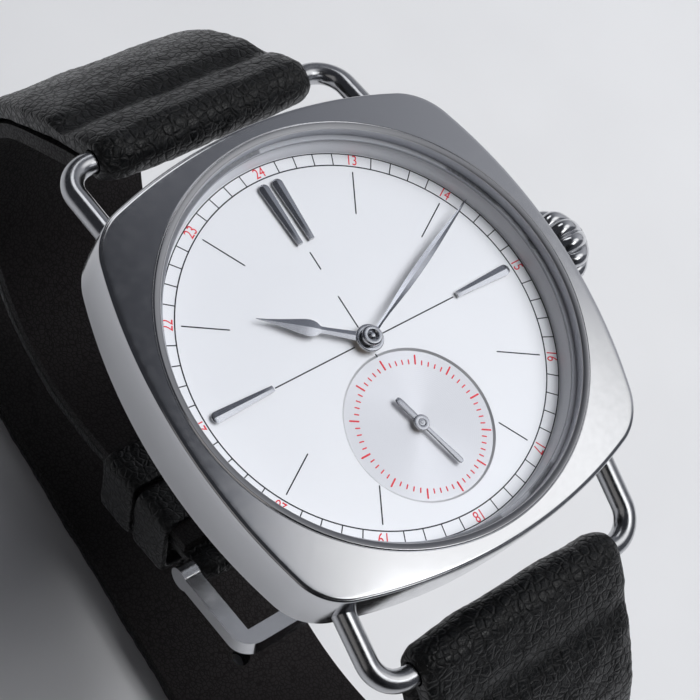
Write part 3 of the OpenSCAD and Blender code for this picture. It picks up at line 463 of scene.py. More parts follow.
def stroke(angle, r0, r1, width, z, centre=(0, 0)):
    """One printed line that points out from a centre: a thin slab with eased ends."""
    out, across = direction(angle), direction(angle + 90)
    ends = ((r0, eased), (r0 + width / 2, 1), (r1 - width / 2, 1), (r1, eased))
    rows = []
    for side, h in ((-1, 0), (-1, ink_h), (1, ink_h), (1, 0)):
        row = []
        for r, f in ends:
            p = Vector(centre) + out * r + across * side * f * width / 2
            row.append((p.x, p.y, z + h))
        rows.append(row)
    strip = shaped("stroke", rows, wrap_rows=True, wrap_columns=False)
    face_outwards(strip, close=True)
    return strip


def printed_ring(r, width, z):
    """A printed circle: a very flat turned ring."""
    return turned("ring", [(r - width / 2, z), (r + width / 2, z), (r + width / 2, z + ink_h),
                           (r - width / 2, z + ink_h), (r - width / 2, z)], 180)


# Black: the two circles of the minute track and its strokes, then the hour strokes and the
# crosshair, each with its direction, inner end and outer end.
track_in, track_out, line_w, circle_w, minute_w = 14.87, 15.9, 0.1, 0.09, 0.085
black = [printed_ring(track_in, line_w, dial_z), printed_ring(track_out, circle_w, dial_z)]
black += [stroke(6 * i, track_in, track_out, minute_w, dial_z) for i in range(60) if i % 5]
lines = [(angle, 10.7, 14.4) for angle in (30, 60, 120, 240, 300, 330)]
lines += [(150, 11.75, 14.36), (210, 11.4, 14.4), (90, 1.2, 8.7), (270, 1.2, 8.7)]
lines += [(0, 1.2, 4.08), (0, 6.5, 8.1), (180, 1.15, 1.46)]
black += [stroke(angle, inner, outer, line_w, dial_z) for angle, inner, outer in lines]
black_print = join(black, "black_dial_print")

# Red: the hours 13 to 24 between the circles, heads outward, and the small seconds' sixty
# strokes, longer and bolder at the fives and at the quarters.
red = []
numeral_h, numeral_squeeze, cap_share = 0.9, 0.78, 0.73
for hour in range(1, 13):
    deselect()
    bpy.ops.object.text_add(location=(0, 0, 0))
    numeral = bpy.context.object
    numeral.data.body = str(hour + 12)
    numeral.data.align_x, numeral.data.align_y = "CENTER", "CENTER"
    numeral.data.size = numeral_h / cap_share * MM
    numeral.data.resolution_u = 4
    numeral.data.extrude = ink_h / 2 * MM
    bpy.ops.object.convert(target="MESH")
    numeral = bpy.context.object
    out = direction(30 * hour) * (track_in + track_out) / 2
    numeral.scale = (numeral_squeeze, 1, 1)
    numeral.rotation_euler = (0, 0, -math.radians(30 * hour))
    numeral.location = (out.x * MM, out.y * MM, (dial_z + ink_h / 2) * MM)
    bpy.ops.object.transform_apply(location=True, rotation=True, scale=True)
    red.append(numeral)
small_in, small_at = 4.92, (0.08, seconds_y - 0.12)      # printed a hair off the sunk dial's middle
for i in range(60):
    outer, width = (5.78, 0.14) if i % 15 == 0 else (5.73, 0.13) if i % 5 == 0 else (5.33, 0.1)
    red.append(stroke(6 * i, small_in, outer, width, small_z, small_at))
red_print = join(red, "red_dial_print")
for printed, material in ((black_print, black_ink), (red_print, red_ink)):
    settle(printed, None, "head", material)


# Hour indexes

# Four applied markers of rhodium-plated brass: long wedges with a ridge along the middle and a
# rounded outer end, two of them side by side at 12, one at 3 and one at 9.
def ridged(name, stations, z, crest_flat=0.0):
    """A bar that is faceted along a middle ridge. Stations are (distance, half width, edge
    height, ridge height) in mm, along +Y; closed under and at both ends."""
    rows = []
    for y, half, edge, crest in stations:
        half = max(half, 1e-4)
        rows.append([(-half, y, z), (-half, y, z + edge), (-half * crest_flat, y, z + crest),
                     (half * crest_flat, y, z + crest), (half, y, z + edge), (half, y, z)])
    ends = [[(0, row[0][1], z)] * 6 for row in (rows[0], rows[-1])]
    return shaped(name, [ends[0]] + rows + [ends[1]])


def swing(piece, angle, x=0.0, y=0.0):
    """Turns a piece clockwise from 12 about a point of the dial, into its mesh."""
    choose(piece)
    piece.rotation_euler = (0, 0, -math.radians(angle))
    piece.location = (x * MM, y * MM, 0)
    bpy.ops.object.transform_apply(location=True, rotation=True)


hand_steel = polished("rhodium_plated_brass", "#c4c4c6", 0.2, haze_mm=0.3, haze=0.04)
index_in, index_out, index_root, index_half, index_h = 8.9, 14.4, 0.23, 0.45, 0.35
facet = math.tan(math.radians(10))
round_at = index_out - index_half
wedge = [(index_in, index_root, 0.2, 0.24),
         (index_in + 0.04, index_root, index_h - index_root * facet, index_h)]
for f in (0.25, 0.5, 0.75, 1.0):
    half = index_root + f * (index_half - index_root)
    wedge.append((index_in + f * (round_at - index_in), half, index_h - half * facet, index_h))
wedge += [(round_at + index_half * math.sin(a), index_half * math.cos(a), index_h - index_half * facet,
           index_h - index_half * facet * (1 - math.cos(a))) for a in np.radians((15, 30, 45, 60, 75, 88))]
markers = []
for angle, aside, lean in ((0, -0.3, -0.9), (0, 0.52, 0.9), (90, 0, 0), (270, 0, 0)):
    marker = ridged("marker", wedge, dial_z - 0.001)
    swing(marker, lean, aside, 0)          # the pair at 12 opens a little towards the track
    swing(marker, angle)
    markers.append(marker)
indexes = join(markers, "applied_indexes")
modify(indexes, "BEVEL", width=0.02 * MM, segments=1, limit_method="ANGLE", angle_limit=math.radians(22))
settle(indexes, "hour_indexes", "head", hand_steel, degrees=12)


# Hands

# Stamped in brass, faceted along the middle, plated and polished. The hour hand is a spade on a
# long neck and the minute hand a slim leaf; the seconds hand is a flat baton with a round tail.
hour_z, minute_z, second_z = 7.9, 8.28, 7.62
hour_len, minute_len, second_len = 8.9, 15.5, 4.2
hour_at, minute_at, second_at = 305.5, 66, 164            # degrees clockwise from 12


def hub(name, r, hole, z, thick, lip=0.05):
    """The turned boss of a hand: a ring with eased edges round its pipe."""
    return turned(name, [(hole, z), (r, z), (r, z + thick - lip), (r - lip, z + thick),
                         (hole + lip, z + thick), (hole, z + thick - lip), (hole, z)], 96, edge_mm=0.02)


# Each outline of a hand gives distances from its axis and half widths, in mm.
hour_edge, minute_edge, second_edge, second_crest = 0.07, 0.06, 0.07, 0.09
spade = [(0.9, 0.4), (2.0, 0.33), (3.1, 0.28), (3.75, 0.27), (3.92, 0.31), (4.02, 0.42), (4.18, 0.54),
         (4.4, 0.63), (4.7, 0.68), (5.05, 0.66), (5.6, 0.56), (6.4, 0.4), (7.2, 0.25), (8.0, 0.12),
         (8.6, 0.05), (hour_len, 0.015)]
hour_blade = ridged("blade", [(y, w, hour_edge, hour_edge + w * facet) for y, w in spade], hour_z)
hour = join([hour_blade, hub("collar", 1.12, 0.7, hour_z, 0.22)], "hour_hand_spade")
swing(hour, hour_at)
settle(hour, "hour_hand", "hour_train", hand_steel, degrees=14)

leaf = [(0.7, 0.17), (1.6, 0.15), (2.6, 0.17), (4.0, 0.26), (5.5, 0.34), (7.2, 0.38), (8.8, 0.37),
        (10.5, 0.31), (12.2, 0.22), (13.8, 0.13), (14.9, 0.06), (minute_len, 0.015)]
minute_blade = ridged("blade", [(y, w, minute_edge, minute_edge + min(0.12, w * 0.45))
                                for y, w in leaf], minute_z)
pipe = turned("pipe", [(r, minute_z + h) for r, h in (
    (0, 0.1), (0.3, 0.1), (0.32, 0.2), (0.28, 0.3), (0.18, 0.37), (0, 0.4))], 48)
minute = join([minute_blade, hub("cap", 0.82, 0.36, minute_z - 0.1, 0.5, 0.1), pipe], "minute_hand_leaf")
swing(minute, minute_at)
settle(minute, "minute_hand", "minute_train", hand_steel, degrees=14)

baton = [(-2.6, 0.06), (-2.57, 0.14), (-2.49, 0.22), (-2.34, 0.27), (-2.1, 0.28), (-0.8, 0.26),
         (-0.3, 0.22), (0.4, 0.16), (1.4, 0.16), (2.6, 0.19), (3.8, 0.23), (4.05, 0.21), (4.17, 0.14),
         (second_len, 0.06)]
second_blade = ridged("blade", [(y, w, second_edge, second_crest) for y, w in baton], second_z,
                      crest_flat=0.7)
pivot = turned("pivot", [(r, second_z + h) for r, h in (
    (0, 0.05), (0.255, 0.05), (0.255, 0.168), (0.13, 0.175), (0.1, 0.19), (0, 0.192))], 32)
second = join([second_blade, hub("boss", 0.64, 0.26, second_z, 0.17, 0.04), pivot], "small_seconds_baton")
swing(second, second_at, 0, seconds_y)
settle(second, "seconds_hand", "seconds_train", hand_steel, degrees=16)


# Crown

# An onion crown milled from one steel bar: twelve full lobes with deep grooves between them,
# swelling at the middle and closed by a low domed end. It hides the tube and the stem.
crown_x, crown_z, crown_r, crown_len, lobes = 18.8, 5.9, 3.3, 3.9, 12
crown_foot, crown_tip, cap_h, groove_least, groove_most = 2.44, 2.05, 0.35, 0.14, 0.4
crown_rows = []
around = [2 * math.pi * i / 240 for i in range(240)]
for f in np.linspace(0, 1, 29):
    swell = (crown_r - (crown_foot + crown_tip) / 2) * math.sin(math.pi * f) ** 0.85
    base = crown_foot * (1 - f) + crown_tip * f + swell
    deep = groove_least + groove_most * math.sin(math.pi * f) ** 0.7
    row = []
    for a in around:
        r = base - deep * (1 - abs(math.sin(lobes * a / 2)) ** 0.62)
        row.append((crown_x + f * (crown_len - cap_h), r * math.cos(a), crown_z + r * math.sin(a)))
    crown_rows.append(row)


def crown_ring(r, x):
    """A plain turned row of the crown."""
    return [(crown_x + x, r * math.cos(a), crown_z + r * math.sin(a)) for a in around]


inside = [crown_ring(r, x) for r, x in ((on_axis, 1.2), (1.45, 1.2), (1.45, 0), (2.2, 0))]
end = [crown_ring(r, crown_len - x)
       for r, x in ((1.85, 0.2), (1.72, 0.14), (1.2, 0.05), (0.6, 0.01), (on_axis, 0))]
crown = shaped("onion_crown", inside + crown_rows + end)
settle(crown, "crown", "crown_stem", case_steel, degrees=50)


# Wire lugs

# Round steel wire, bent into a wide staple whose two legs are brazed into the case, polished.
# The leather is folded round the straight bar between the bends.
wire_r, lug_y, lug_z, wire_bend, wire_tilt = 0.9, 22.5, 4.3, 2.5, 15
leg_half, leg_end, leg_mid = 12.9, 8.4, 5.5


def tube(name, path, radius, sides=28):
    """A round bar drawn along a path of points in mm, closed at both ends."""
    points = [Vector(p) for p in path]
    rows, side = [], None
    for i, p in enumerate(points):
        along = (points[min(i + 1, len(points) - 1)] - points[max(i - 1, 0)]).normalized()
        if side is None:
            side = along.orthogonal().normalized()
        side = (side - along * side.dot(along)).normalized()
        other = along.cross(side)
        rows.append([tuple(p + radius * (math.cos(a) * side + math.sin(a) * other))
                     for a in np.linspace(0, 2 * math.pi, sides, endpoint=False)])
    ends = [[tuple(p)] * sides for p in (points[0], points[-1])]
    return shaped(name, [ends[0]] + rows + [ends[1]])


wire_steel = polished("drawn_wire_steel", "#bcbdc0", 0.22, haze_mm=0.5, haze=0.2)
tilt = math.radians(wire_tilt)
flat_path = [(-leg_half, -leg_end), (-leg_half, -leg_mid), (-leg_half, -wire_bend)]
flat_path += [(-leg_half + wire_bend * (1 - math.cos(a)), -wire_bend * (1 - math.sin(a)))
              for a in np.linspace(0, math.pi / 2, 15)[1:]]
flat_path += [(x, 0) for x in (-7, -3.5, 0)]
flat_path += [(-x, y) for x, y in reversed(flat_path[:-1])]
for side, node in ((1, "wire_lug_12"), (-1, "wire_lug_6")):
    path = [(x, side * (lug_y + y * math.cos(tilt)), lug_z - y * math.sin(tilt)) for x, y in flat_path]
    lug = tube(node.replace("wire_lug", "bent_wire"), path, wire_r)
    settle(lug, node, "head", wire_steel)


# Strap: the course of both halves

# Two halves of calf leather, each folded round its lug wire, so that it can turn there. They bend
# round the wrist and thin towards their ends: the short one curls in to the buckle, the long one
# lies flat under the watch.
bar = Vector((lug_y, lug_z))
lug_w, end_w, lug_t, end_t = 20.0, 16.0, 3.8, 2.4
shoulder_r, knee_r, curl_r, sole_r = 60, 16, 17, 22              # bends from the wire to the ends
lug_slope, knee_slope, side_slope, sole_slope, curl_slope = 38, 50, 90, 180, 200
side_drop, buckle_reach, tail_reach = 10, 18.6, 46.6             # the straight stretches
taper_start, short_taper_end, long_taper_end = 6, 11.9, 15.4     # below the wire and the curls' centres


def along(centre, r, heading):
    """A point of an arc whose course runs at a heading below the horizontal, in degrees."""
    a = math.radians(heading)
    return Vector((centre[0] + r * math.sin(a), centre[1] + r * math.cos(a)))


shoulder_c = along(bar, -shoulder_r, lug_slope)
knee_c = along(shoulder_c, shoulder_r - knee_r, knee_slope)
long_c = knee_c + Vector((knee_r - sole_r, -side_drop))
short_c = knee_c + Vector((knee_r - curl_r, 0))
tip_start = along(short_c, curl_r, curl_slope)
to_buckle = Vector((math.cos(math.radians(curl_slope)), -math.sin(math.radians(curl_slope))))
pin = tip_start + buckle_reach * to_buckle
tail_end = long_c.x - tail_reach
knee_t, side_t = (2 * lug_t + end_t) / 3, (lug_t + 2 * end_t) / 3


def arc_stations(centre, r, start, stop, t0, t1, step):
    """Stations along an arc: place, outward direction and thickness."""
    count = max(2, round(abs(math.radians(stop - start)) * r / step))
    out = []
    for i in range(count):
        f = i / count
        heading = start + (stop - start) * f
        out.append((along(centre, r, heading), along((0, 0), 1, heading), t0 + (t1 - t0) * f))
    return out


def straight_stations(start, stop, heading, t0, t1, step):
    """Stations along a straight stretch, its last point included."""
    count = max(2, round((stop - start).length / step))
    return [(start.lerp(stop, i / count), along((0, 0), 1, heading), t0 + (t1 - t0) * i / count)
            for i in range(count + 1)]


def strap_course(short, step):
    """The whole middle line of a half, from the lug wire to its end."""
    course = arc_stations(shoulder_c, shoulder_r, lug_slope, knee_slope, lug_t, knee_t, step)
    course += arc_stations(knee_c, knee_r, knee_slope, side_slope, knee_t, side_t, step)
    if short:
        course += arc_stations(short_c, curl_r, side_slope, curl_slope, side_t, end_t, step)
        return course + straight_stations(tip_start, pin, curl_slope, end_t, end_t, step)
    side_top, sole = Vector((knee_c.x + knee_r, knee_c.y)), long_c - Vector((0, sole_r))
    side_foot = side_top - Vector((0, side_drop))
    course += straight_stations(side_top, side_foot, side_slope, side_t, side_t, step)[:-1]
    course += arc_stations(long_c, sole_r, side_slope, sole_slope, side_t, end_t, step)
    return course + straight_stations(sole, Vector((tail_end, sole.y)), sole_slope, end_t, end_t, step)


def half_width(place, run, total, short):
    """Half the strap's width: it tapers over the bend, and a tail is rounded."""
    top = bar.y - taper_start
    foot = short_c.y - short_taper_end if short else long_c.y - long_taper_end
    f = min(max((top - place.y) / (top - foot), 0), 1)
    if short and place.x < tip_start.x:
        f = 1
    half = lug_w / 2 + f * (end_w - lug_w) / 2
    left = total - run
    if not short and left < end_w / 2:
        half = min(half, math.sqrt(max((end_w / 2) ** 2 - (end_w / 2 - left) ** 2, 1e-4)))
    return half


# Strap: the leather

# Full-grain calf with a coarse pebbled shrink, padded at the lug, its cut edges inked black. The
# outer leather wraps the lug wire and is glued to a smooth dark lining.
loop_hole, loop_round = 1.0, 2.15                                           # round the lug wire
loop_from, loop_to = 200, 8                                                 # its ends, in degrees
pin_hole, pin_round = 0.6, 1.45                                             # round the buckle's bar
edge_t, rounded_from, rounded_share, plumpness = 0.62, 0.8, 0.2, 0.1        # of the padded section
pebble_size, rumple_size, rumple_h = 0.9, 2.8, 0.3                          # of the grain side
dip_at, dip_long, dip_short_half, dip_long_half = 4.3, 1.25, 0.75, 0.4      # the glued fold
swell_at, swell_long, swell_h = 10.5, 4, 0.3                                # the padding after it
pin_gap, lining_gap = 1.3, 1.6                                              # short of the buckle's bar


def fullness(x):
    """How full the section is at a share of the half width: plump in the middle, thin at the edge."""
    edge = max(0.0, (abs(x) - rounded_from) / rounded_share)
    fall = (1 - edge_t) * (1 - math.sqrt(max(0.0, 1 - edge ** 2)))
    return (1 - plumpness * abs(x) ** 2) * (1 - fall)


def fold(run, deep):
    """How far the grain side dips behind the loop, where the fold is glued, and swells after it."""
    swell = swell_h * math.exp(-((run - swell_at) / swell_long) ** 2)
    return swell - deep * math.exp(-((run - dip_at) / dip_long) ** 2)


def leather_shell(name, short, low, high, start_gap, step, columns, wraps):
    """One layer of a strap half as a closed shell, between two shares of its thickness. Its rows
    run along the grain side, round the wire if it wraps, and back along the flesh side."""
    course = strap_course(short, step)
    runs = np.cumsum([0] + [(b[0] - a[0]).length for a, b in zip(course, course[1:])])
    total = runs[-1]
    end_gap = 0 if not short else pin_gap if wraps else lining_gap
    kept = [(c, r) for c, r in zip(course, runs) if r >= start_gap and total - r >= end_gap]
    sections = []

    def station_row(at, offset, run):
        sections.append((at, offset, half_width(at, run, total, short)))

    if wraps:
        for a in np.radians(np.linspace(loop_from, loop_to, 26)):
            turn = math.radians(lug_slope) - a
            station_row(bar, Vector((math.sin(turn), math.cos(turn))) * loop_round, 0)
    for (at, out, t), run in kept:
        lift = fold(run, dip_short_half if short else dip_long_half) if wraps else 0
        station_row(at + out * t * (low + high) / 2, out * (t * (high - low) / 2 + lift), run)
    if wraps and short:
        for a in np.radians(np.linspace(20, 160, 18)):
            turn = math.radians(curl_slope) + a
            station_row(pin, Vector((math.sin(turn), math.cos(turn))) * pin_round, total)
    for (at, out, t), run in reversed(kept):
        station_row(at + out * t * (low + high) / 2, -out * t * (high - low) / 2, run)
    even = np.linspace(-1, 1, columns)
    shares = np.sin(even * math.pi / 2) * 0.35 + even * 0.65            # closer together at the edges
    rows = []
    for at, offset, half in sections:
        row = []
        for x in shares:
            p = at + offset * (fullness(x) if wraps else 1)
            row.append((x * half, p.x, p.y))
        row.insert(0, (-half, at.x, at.y))
        row.append((half, at.x, at.y))
        rows.append(row)
    return shaped(name, rows, wrap_rows=True, wrap_columns=False)


def mirror_y(piece):
    """Turns a half to the 6 o'clock side."""
    choose(piece)
    piece.scale = (1, -1, 1)
    bpy.ops.object.transform_apply(scale=True)
    face_outwards(piece)


def bore_across(piece, y, z, r):
    """Bores a round hole right across the strap."""
    carve(piece, tube("cutter", [(x, y, z) for x in (-12, 0, 12)], r, 48))


def pebble(piece, deep_mm):
    """Raises the pebbles of the grain between fine creases, then rumples them a little."""
    cells = bpy.data.textures.new("pebbles", "VORONOI")
    cells.noise_scale, cells.noise_intensity = pebble_size * MM, 1.0
    cells.weight_1, cells.weight_2 = -1.0, 1.0
    modify(piece, "DISPLACE", texture=cells, texture_coords="LOCAL", strength=deep_mm * MM, mid_level=0.35)
    folds = bpy.data.textures.new("rumples", "CLOUDS")
    folds.noise_scale = rumple_size * MM
    modify(piece, "DISPLACE", texture=folds, texture_coords="LOCAL", strength=rumple_h * MM, mid_level=0.5)


def leather(name, crease_shade_colour, light, pebble_mm, gloss, deep_mm, wax):
    """Dyed calf leather: pebbles whose creases are coloured a little darker than their tops as painted
    shade, finer cracks and pores over them, and a waxy finish that is glossier on top of the grain than
    between it."""
    material = finish_named(name, IOR=1.36, Coat_Weight=wax, Coat_Roughness=0.24)
    place = add_node(material, "TexCoord", out="Object")
    drift = add_node(material, "TexNoise", {"Vector": place, "Scale": 0.7 / MM, "Detail": 2.0}, out="Color")
    bent = add_node(material, "Mix", {0: 0.0005, 4: place, 5: drift}, data_type="VECTOR", out=1)
    layers = []
    for size, width in ((pebble_mm, 0.2), (pebble_mm * 0.4, 0.12)):
        cells = add_node(material, "TexVoronoi", {"Vector": bent, "Scale": 1000 / size},
                         feature="DISTANCE_TO_EDGE")
        layers.append(add_node(material, "MapRange", {"Value": cells, "From Max": width},
                               interpolation_type="SMOOTHSTEP"))
    pores = add_node(material, "TexNoise", {"Vector": place, "Scale": 5 / MM, "Detail": 4.0})
    fine = add_node(material, "Math", {0: layers[1], 1: 0.25, 2: layers[0]}, operation="MULTIPLY_ADD")
    height = add_node(material, "Math", {0: pores, 1: 0.2, 2: fine}, operation="MULTIPLY_ADD")
    bump = add_node(material, "Bump", {"Height": height, "Distance": deep_mm * MM, "Strength": 1.0})
    # Painted shade: the colour darkens towards the creases between the pebbles, following the bump's
    # height.
    tint = add_node(material, "Mix", {0: height, 6: linear(crease_shade_colour), 7: linear(light)},
                    data_type="RGBA", out=2)
    shine = add_node(material, "MapRange", {
        "Value": height, "From Max": 1.5, "To Min": gloss + 0.35, "To Max": gloss})
    feed(material, Base_Color=tint, Roughness=shine, Normal=bump, Coat_Normal=bump)
    return material


calf = leather("pebbled_black_calf", "#020202", "#040506", pebble_mm=0.7, gloss=0.3, deep_mm=0.05, wax=0.28)
lining_calf = leather("smooth_black_lining", "#0e0c0d", "#181516", pebble_mm=0.4, gloss=0.55, deep_mm=0.015,
                      wax=0.05)
grain_step, grain_columns = ((0.24, 96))
first_hole, hole_pitch, hole_r, pebble_h = 18, 5.5, 0.9, 0.13
holes = [tail_end + first_hole + hole_pitch * i for i in range(6)]
drill_heights = (-50, -47, -44)            # from below the long half's flat to above it
for short, strap, body in ((True, "strap_12", "strap_short"), (False, "strap_6", "strap_long")):
    outer = leather_shell(strap + "_outer_leather", short, low=-0.1, high=0.5, start_gap=1.2,
                          step=grain_step, columns=grain_columns, wraps=True)
    inner = leather_shell(strap + "_lining_leather", short, low=-0.5, high=-0.105, start_gap=2.4,
                          step=0.5, columns=24, wraps=False)
    if not short:
        for piece in (outer, inner):
            drills = [tube("drill", [(0, y, z) for z in drill_heights], hole_r, 32) for y in holes]
            carve(piece, join(drills, "drills"))
            mirror_y(piece)
    pebble(outer, pebble_h)
    bore_across(outer, bar.x if short else -bar.x, bar.y, loop_hole)
    if short:
        bore_across(outer, pin.x, pin.y, pin_hole)
    settle(outer, strap + "_outer", body, calf, degrees=60)
    settle(inner, strap + "_lining", body, lining_calf, degrees=40)


# Strap keepers

# Two bands of the same calf, folded round the short half behind the buckle and glued end to end:
# the first is stitched in place, the second slides.
keeper_w, keeper_wall, keeper_round, keeper_room, keeper_pebble = 4.5, 1.0, 0.75, 0.6, 0.07
outwards = along((0, 0), 1, curl_slope)
band_section = []                       # across the band: flat, with rounded cut edges
for k in range(44):
    a = 2 * math.pi * k / 44
    c, s = math.cos(a), math.sin(a)
    band_section.append((math.copysign(abs(c) ** 0.35, c) * keeper_w / 2,
                         math.copysign(abs(s) ** 0.6, s) * keeper_wall / 2))
for node, body, behind, slack in (("keeper_fixed", "strap_short", 6.2, 0.0),
                                  ("keeper_loose", "loop_loose", 11.1, 0.15)):
    half = end_w / 2 + slack + keeper_wall / 2
    low, high = -end_t / 2 - slack - keeper_wall / 2, end_t / 2 + keeper_room + end_t + keeper_wall / 2
    arcs = []
    for quarter, (cx, cn) in enumerate(((1, 1), (-1, 1), (-1, -1), (1, -1))):
        centre = Vector((cx * (half - keeper_round), (high if cn > 0 else low) - cn * keeper_round))
        angles = np.radians(np.linspace(0, 90, 6) + 90 * quarter)
        turns = [Vector((math.cos(a), math.sin(a))) for a in angles]
        arcs.append([(centre + turn * keeper_round, turn) for turn in turns])
    rows = []
    for arc, next_arc in zip(arcs, arcs[1:] + arcs[:1]):
        (start, turn), stop = arc[-1], next_arc[0][0]
        count = max(2, round((stop - start).length / 0.3))
        for at, facing in arc + [(start.lerp(stop, i / count), turn) for i in range(1, count)]:
            row = []
            for down_strap, thick in band_section:
                spot = pin + to_buckle * (down_strap - behind) + outwards * (at.y + facing.y * thick)
                row.append((at.x + facing.x * thick, spot.x, spot.y))
            rows.append(row)
    band = shaped(node + "_band", rows, wrap_rows=True)
    pebble(band, keeper_pebble)
    settle(band, node, body, calf, degrees=60)


# Back of the case

# The caseback is turned and left with fine lathe rings; the tube and the stem are plain turned
# steel. The pin buckle and its bar are polished like the case. Rubber seals the back, and a nylon
# ring holds the movement.
def lathe_turned(name, colour, roughness, ring_mm, deep_um):
    """Metal straight from the lathe: fine uneven rings about the watch's axis."""
    material = finish_named(name, Base_Color=linear(colour), Metallic=1.0)
    place = add_node(material, "TexCoord", out="Object")
    flat = add_node(material, "VectorMath", {0: place, 1: (1, 1, 0)}, operation="MULTIPLY")
    reach = add_node(material, "VectorMath", {0: flat}, operation="LENGTH", out="Value")
    rings = add_node(material, "TexNoise", {"W": reach, "Scale": 1000 / ring_mm, "Detail": 3.0},
                     noise_dimensions="1D")
    spread = add_node(material, "MapRange", {
        "Value": rings, "To Min": roughness * 0.8, "To Max": roughness * 1.25})
    bump = add_node(material, "Bump", {"Height": rings, "Distance": deep_um * 1e-6, "Strength": 1.0})
    feed(material, Roughness=spread, Normal=bump)
    return material


redress(lathe_turned("turned_caseback_steel", "#bfc0c3", 0.24, 0.09, 6), "caseback")
redress(lathe_turned("turned_small_steel", "#b4b5b8", 0.3, 0.2, 2), "crown_tube", "winding_stem")
redress(case_steel, "buckle_frame", "buckle_tongue", "buckle_bar")

# Black nitrile rubber, moulded, with a dusty matt skin.
rubber = finish_named("moulded_black_rubber", Roughness=0.7, IOR=1.52)
place = add_node(rubber, "TexCoord", out="Object")
skin = add_node(rubber, "TexNoise", {"Vector": place, "Scale": 2.5 / MM})
tint = add_node(rubber, "Mix", {0: skin, 6: linear("#0f0f10"), 7: linear("#1b1b1c")},
                data_type="RGBA", out=2)
bump = add_node(rubber, "Bump", {"Height": skin, "Distance": 0.01 * MM, "Strength": 0.5})
feed(rubber, Base_Color=tint, Normal=bump)
redress(rubber, "caseback_gasket")

# Natural nylon, injection moulded, slightly cloudy.
ring_nylon = finish_named("moulded_ring_nylon", Roughness=0.5, IOR=1.53)
place = add_node(ring_nylon, "TexCoord", out="Object")
cloudy = add_node(ring_nylon, "TexNoise", {"Vector": place, "Scale": 0.4 / MM, "Detail": 3.0})
tint = add_node(ring_nylon, "Mix", {0: cloudy, 6: linear("#cdc6b2"), 7: linear("#dcd6c6")},
                data_type="RGBA", out=2)
feed(ring_nylon, Base_Color=tint)
redress(ring_nylon, "movement_ring")


# Movement

# Rhodium-plated brass plates: the mainplate is spotted in small overlapping circles, the bridges
# and the rotor carry straight stripes. Wheels are gilt brass, their arbors and levers hardened
# steel, screws and hairspring blued by heat.
pattern_mm = 1.2


def stamped(name, colour, roughness, pattern):
    """Plated brass with an engine-cut pattern of spots or stripes."""
    material = finish_named(name, Base_Color=linear(colour), Metallic=1.0)
    place = add_node(material, "TexCoord", out="Object")
    if pattern == "spots":
        cell = add_node(material, "TexVoronoi", {
            "Vector": place, "Scale": 1000 / pattern_mm, "Randomness": 0.0}, voronoi_dimensions="2D")
        ramp = add_node(material, "Math", {0: cell, 1: 34.0}, operation="MULTIPLY")
        relief = add_node(material, "Math", {0: ramp}, operation="SINE")
        shade = cell
    else:
        stripe = add_node(material, "TexWave", {"Vector": place, "Scale": 1000 / (pattern_mm * 6.28)},
                          bands_direction="DIAGONAL", wave_profile="SAW", out="Fac")
        drawn_out = add_node(material, "Mapping", {"Vector": place, "Scale": (1, 0.06, 1)})
        cuts = add_node(material, "TexNoise", {"Vector": drawn_out, "Scale": 9 / MM})
        relief, shade = cuts, stripe
    spread = add_node(material, "MapRange", {
        "Value": shade, "To Min": roughness * 0.75, "To Max": roughness * 1.3})
    bump = add_node(material, "Bump", {"Height": relief, "Distance": 0.003 * MM, "Strength": 0.8})
    feed(material, Roughness=spread, Normal=bump)
    return material


redress(stamped("spotted_rhodium_plate", "#b9b9ba", 0.32, "spots"), "mainplate")
redress(stamped("striped_rhodium_plate", "#c4c4c6", 0.3, "stripes"), "train_bridge", "pallet_bridge",
        "balance_cock", "rotor")
redress(polished("gilt_brass", "#d9b36a", 0.28, haze_mm=0.15, haze=0.25), "barrel", "centre_wheel",
        "third_wheel", "fourth_wheel", "balance_wheel", "minute_wheel", "hour_wheel")
redress(polished("hardened_steel", "#a9abb0", 0.2, haze_mm=0.2, haze=0.3), "cannon_pinion", "escape_wheel",
        "pallet_fork", "winding_pinion")
redress(polished("heat_blued_steel", "#26417e", 0.2, haze_mm=0.25, haze=0.35), "bridge_screws",
        "rotor_screw", "hairspring")


# Stage

# A plain pale floor under the strap's tail, a softly graded studio around it and a few wide
# lamps. The camera looks down from the wearer's left, a little on the 6 o'clock side.
floor_z, floor_r = -48.05, 1400
deselect()
bpy.ops.mesh.primitive_circle_add(vertices=96, radius=floor_r * MM, fill_type="NGON",
                                  location=(0, 0, floor_z * MM))
floor = bpy.context.object
floor.name = "studio_floor"
# Uncoated paper: matt, with a faint unevenness of its fibres.
paper = finish_named("pale_paper", Roughness=0.9)
place = add_node(paper, "TexCoord", out="Object")
fibre = add_node(paper, "TexNoise", {"Vector": place, "Scale": 0.06 / MM})
tint = add_node(paper, "Mix", {0: fibre, 6: linear("#dcdde0"), 7: linear("#e4e5e8")},
                data_type="RGBA", out=2)
feed(paper, Base_Color=tint)
dress(floor, paper)

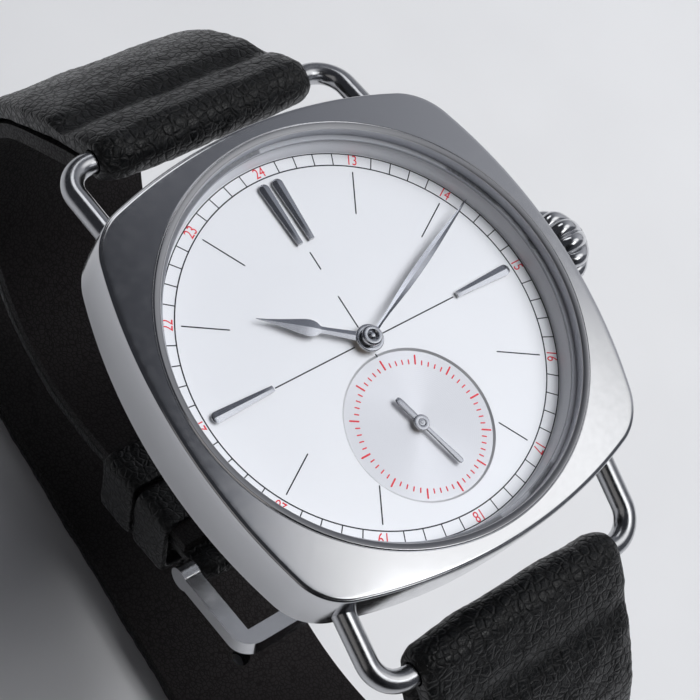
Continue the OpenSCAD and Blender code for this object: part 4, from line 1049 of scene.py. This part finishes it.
# The studio: a soft bright field above the crown's side, which polished metal mirrors, and a
# glow that fades across the room and is flagged low on the 6 o'clock side.
studio = bpy.data.worlds.new("studio")
bpy.context.scene.world = studio
studio.use_nodes = True
towards = add_node(studio, "TexCoord", out="Generated")
in_glow = add_node(studio, "VectorMath", {0: towards, 1: (0.52, -0.15, 0.841)},
                   operation="DOT_PRODUCT", out="Value")
glow = add_node(studio, "MapRange", {"Value": in_glow, "From Min": 0.9, "From Max": 0.99},
                interpolation_type="SMOOTHSTEP")
to_side = add_node(studio, "VectorMath", {0: towards, 1: (0.96, -0.29, 0.0)},
                   operation="DOT_PRODUCT", out="Value")
side_glow = add_node(studio, "MapRange", {
    "Value": to_side, "From Min": 0.05, "From Max": 0.85, "To Min": 0.05, "To Max": 0.58})
to_twelve = add_node(studio, "SeparateXYZ", {0: towards}, out="Y")
flagged = add_node(studio, "MapRange", {
    "Value": to_twelve, "From Min": -0.33, "From Max": -0.18, "To Min": 0.25},
    interpolation_type="SMOOTHSTEP")
kept_glow = add_node(studio, "Math", {0: side_glow, 1: flagged}, operation="MULTIPLY")
level = add_node(studio, "Math", {0: glow, 1: kept_glow}, operation="ADD")
tone = add_node(studio, "Mix", {0: level, 6: linear("#d5daea"), 7: linear("#ffffff")},
                data_type="RGBA", out=2)
backdrop = studio.node_tree.nodes["Background"]
studio.node_tree.links.new(tone, backdrop.inputs["Color"])
studio.node_tree.links.new(level, backdrop.inputs["Strength"])


lamp_aim = Vector((0, 0, 8))


def lamp(name, place, size, power, colour, mirrored=True):
    """A wide soft lamp, placed in mm and turned towards the watch; polished steel may mirror it."""
    deselect()
    bpy.ops.object.light_add(type="AREA", location=[c * MM for c in place])
    made = bpy.context.object
    made.name = name
    made.data.shape, made.data.size, made.data.size_y = "RECTANGLE", size[0] * MM, size[1] * MM
    made.data.energy = power
    made.data.color = linear(colour)[:3]
    made.visible_glossy = mirrored
    made.rotation_euler = (lamp_aim - Vector(place)).to_track_quat("-Z", "Y").to_euler()


lamp("key_softbox", (190, -40, 340), (300, 300), 1.5, "#ffffff", mirrored=False)
lamp("front_softbox", (95, -165, 330), (150, 150), 0.15, "#ffffff")
lamp("fill_softbox", (-330, -60, 240), (300, 300), 0.07, "#fffaf6")
lamp("back_softbox", (100, 330, 290), (160, 140), 0.12, "#fbfcff")

camera_at = (-69.016, -22.213, 122.49)
right = Vector((0.771497, -0.532044, 0.348887))
down = Vector((-0.395647, -0.830636, -0.391801))
ahead = Vector((0.498253, 0.164237, -0.851334))
deselect()
bpy.ops.object.camera_add(location=[c * MM for c in camera_at])
camera = bpy.context.object
camera.rotation_euler = Matrix((right, -down, -ahead)).transposed().to_euler()
camera.data.sensor_width, camera.data.lens, camera.data.clip_start = 36, 93.52, 0.005
bpy.context.scene.camera = camera
bpy.context.scene.view_settings.view_transform = "Standard"
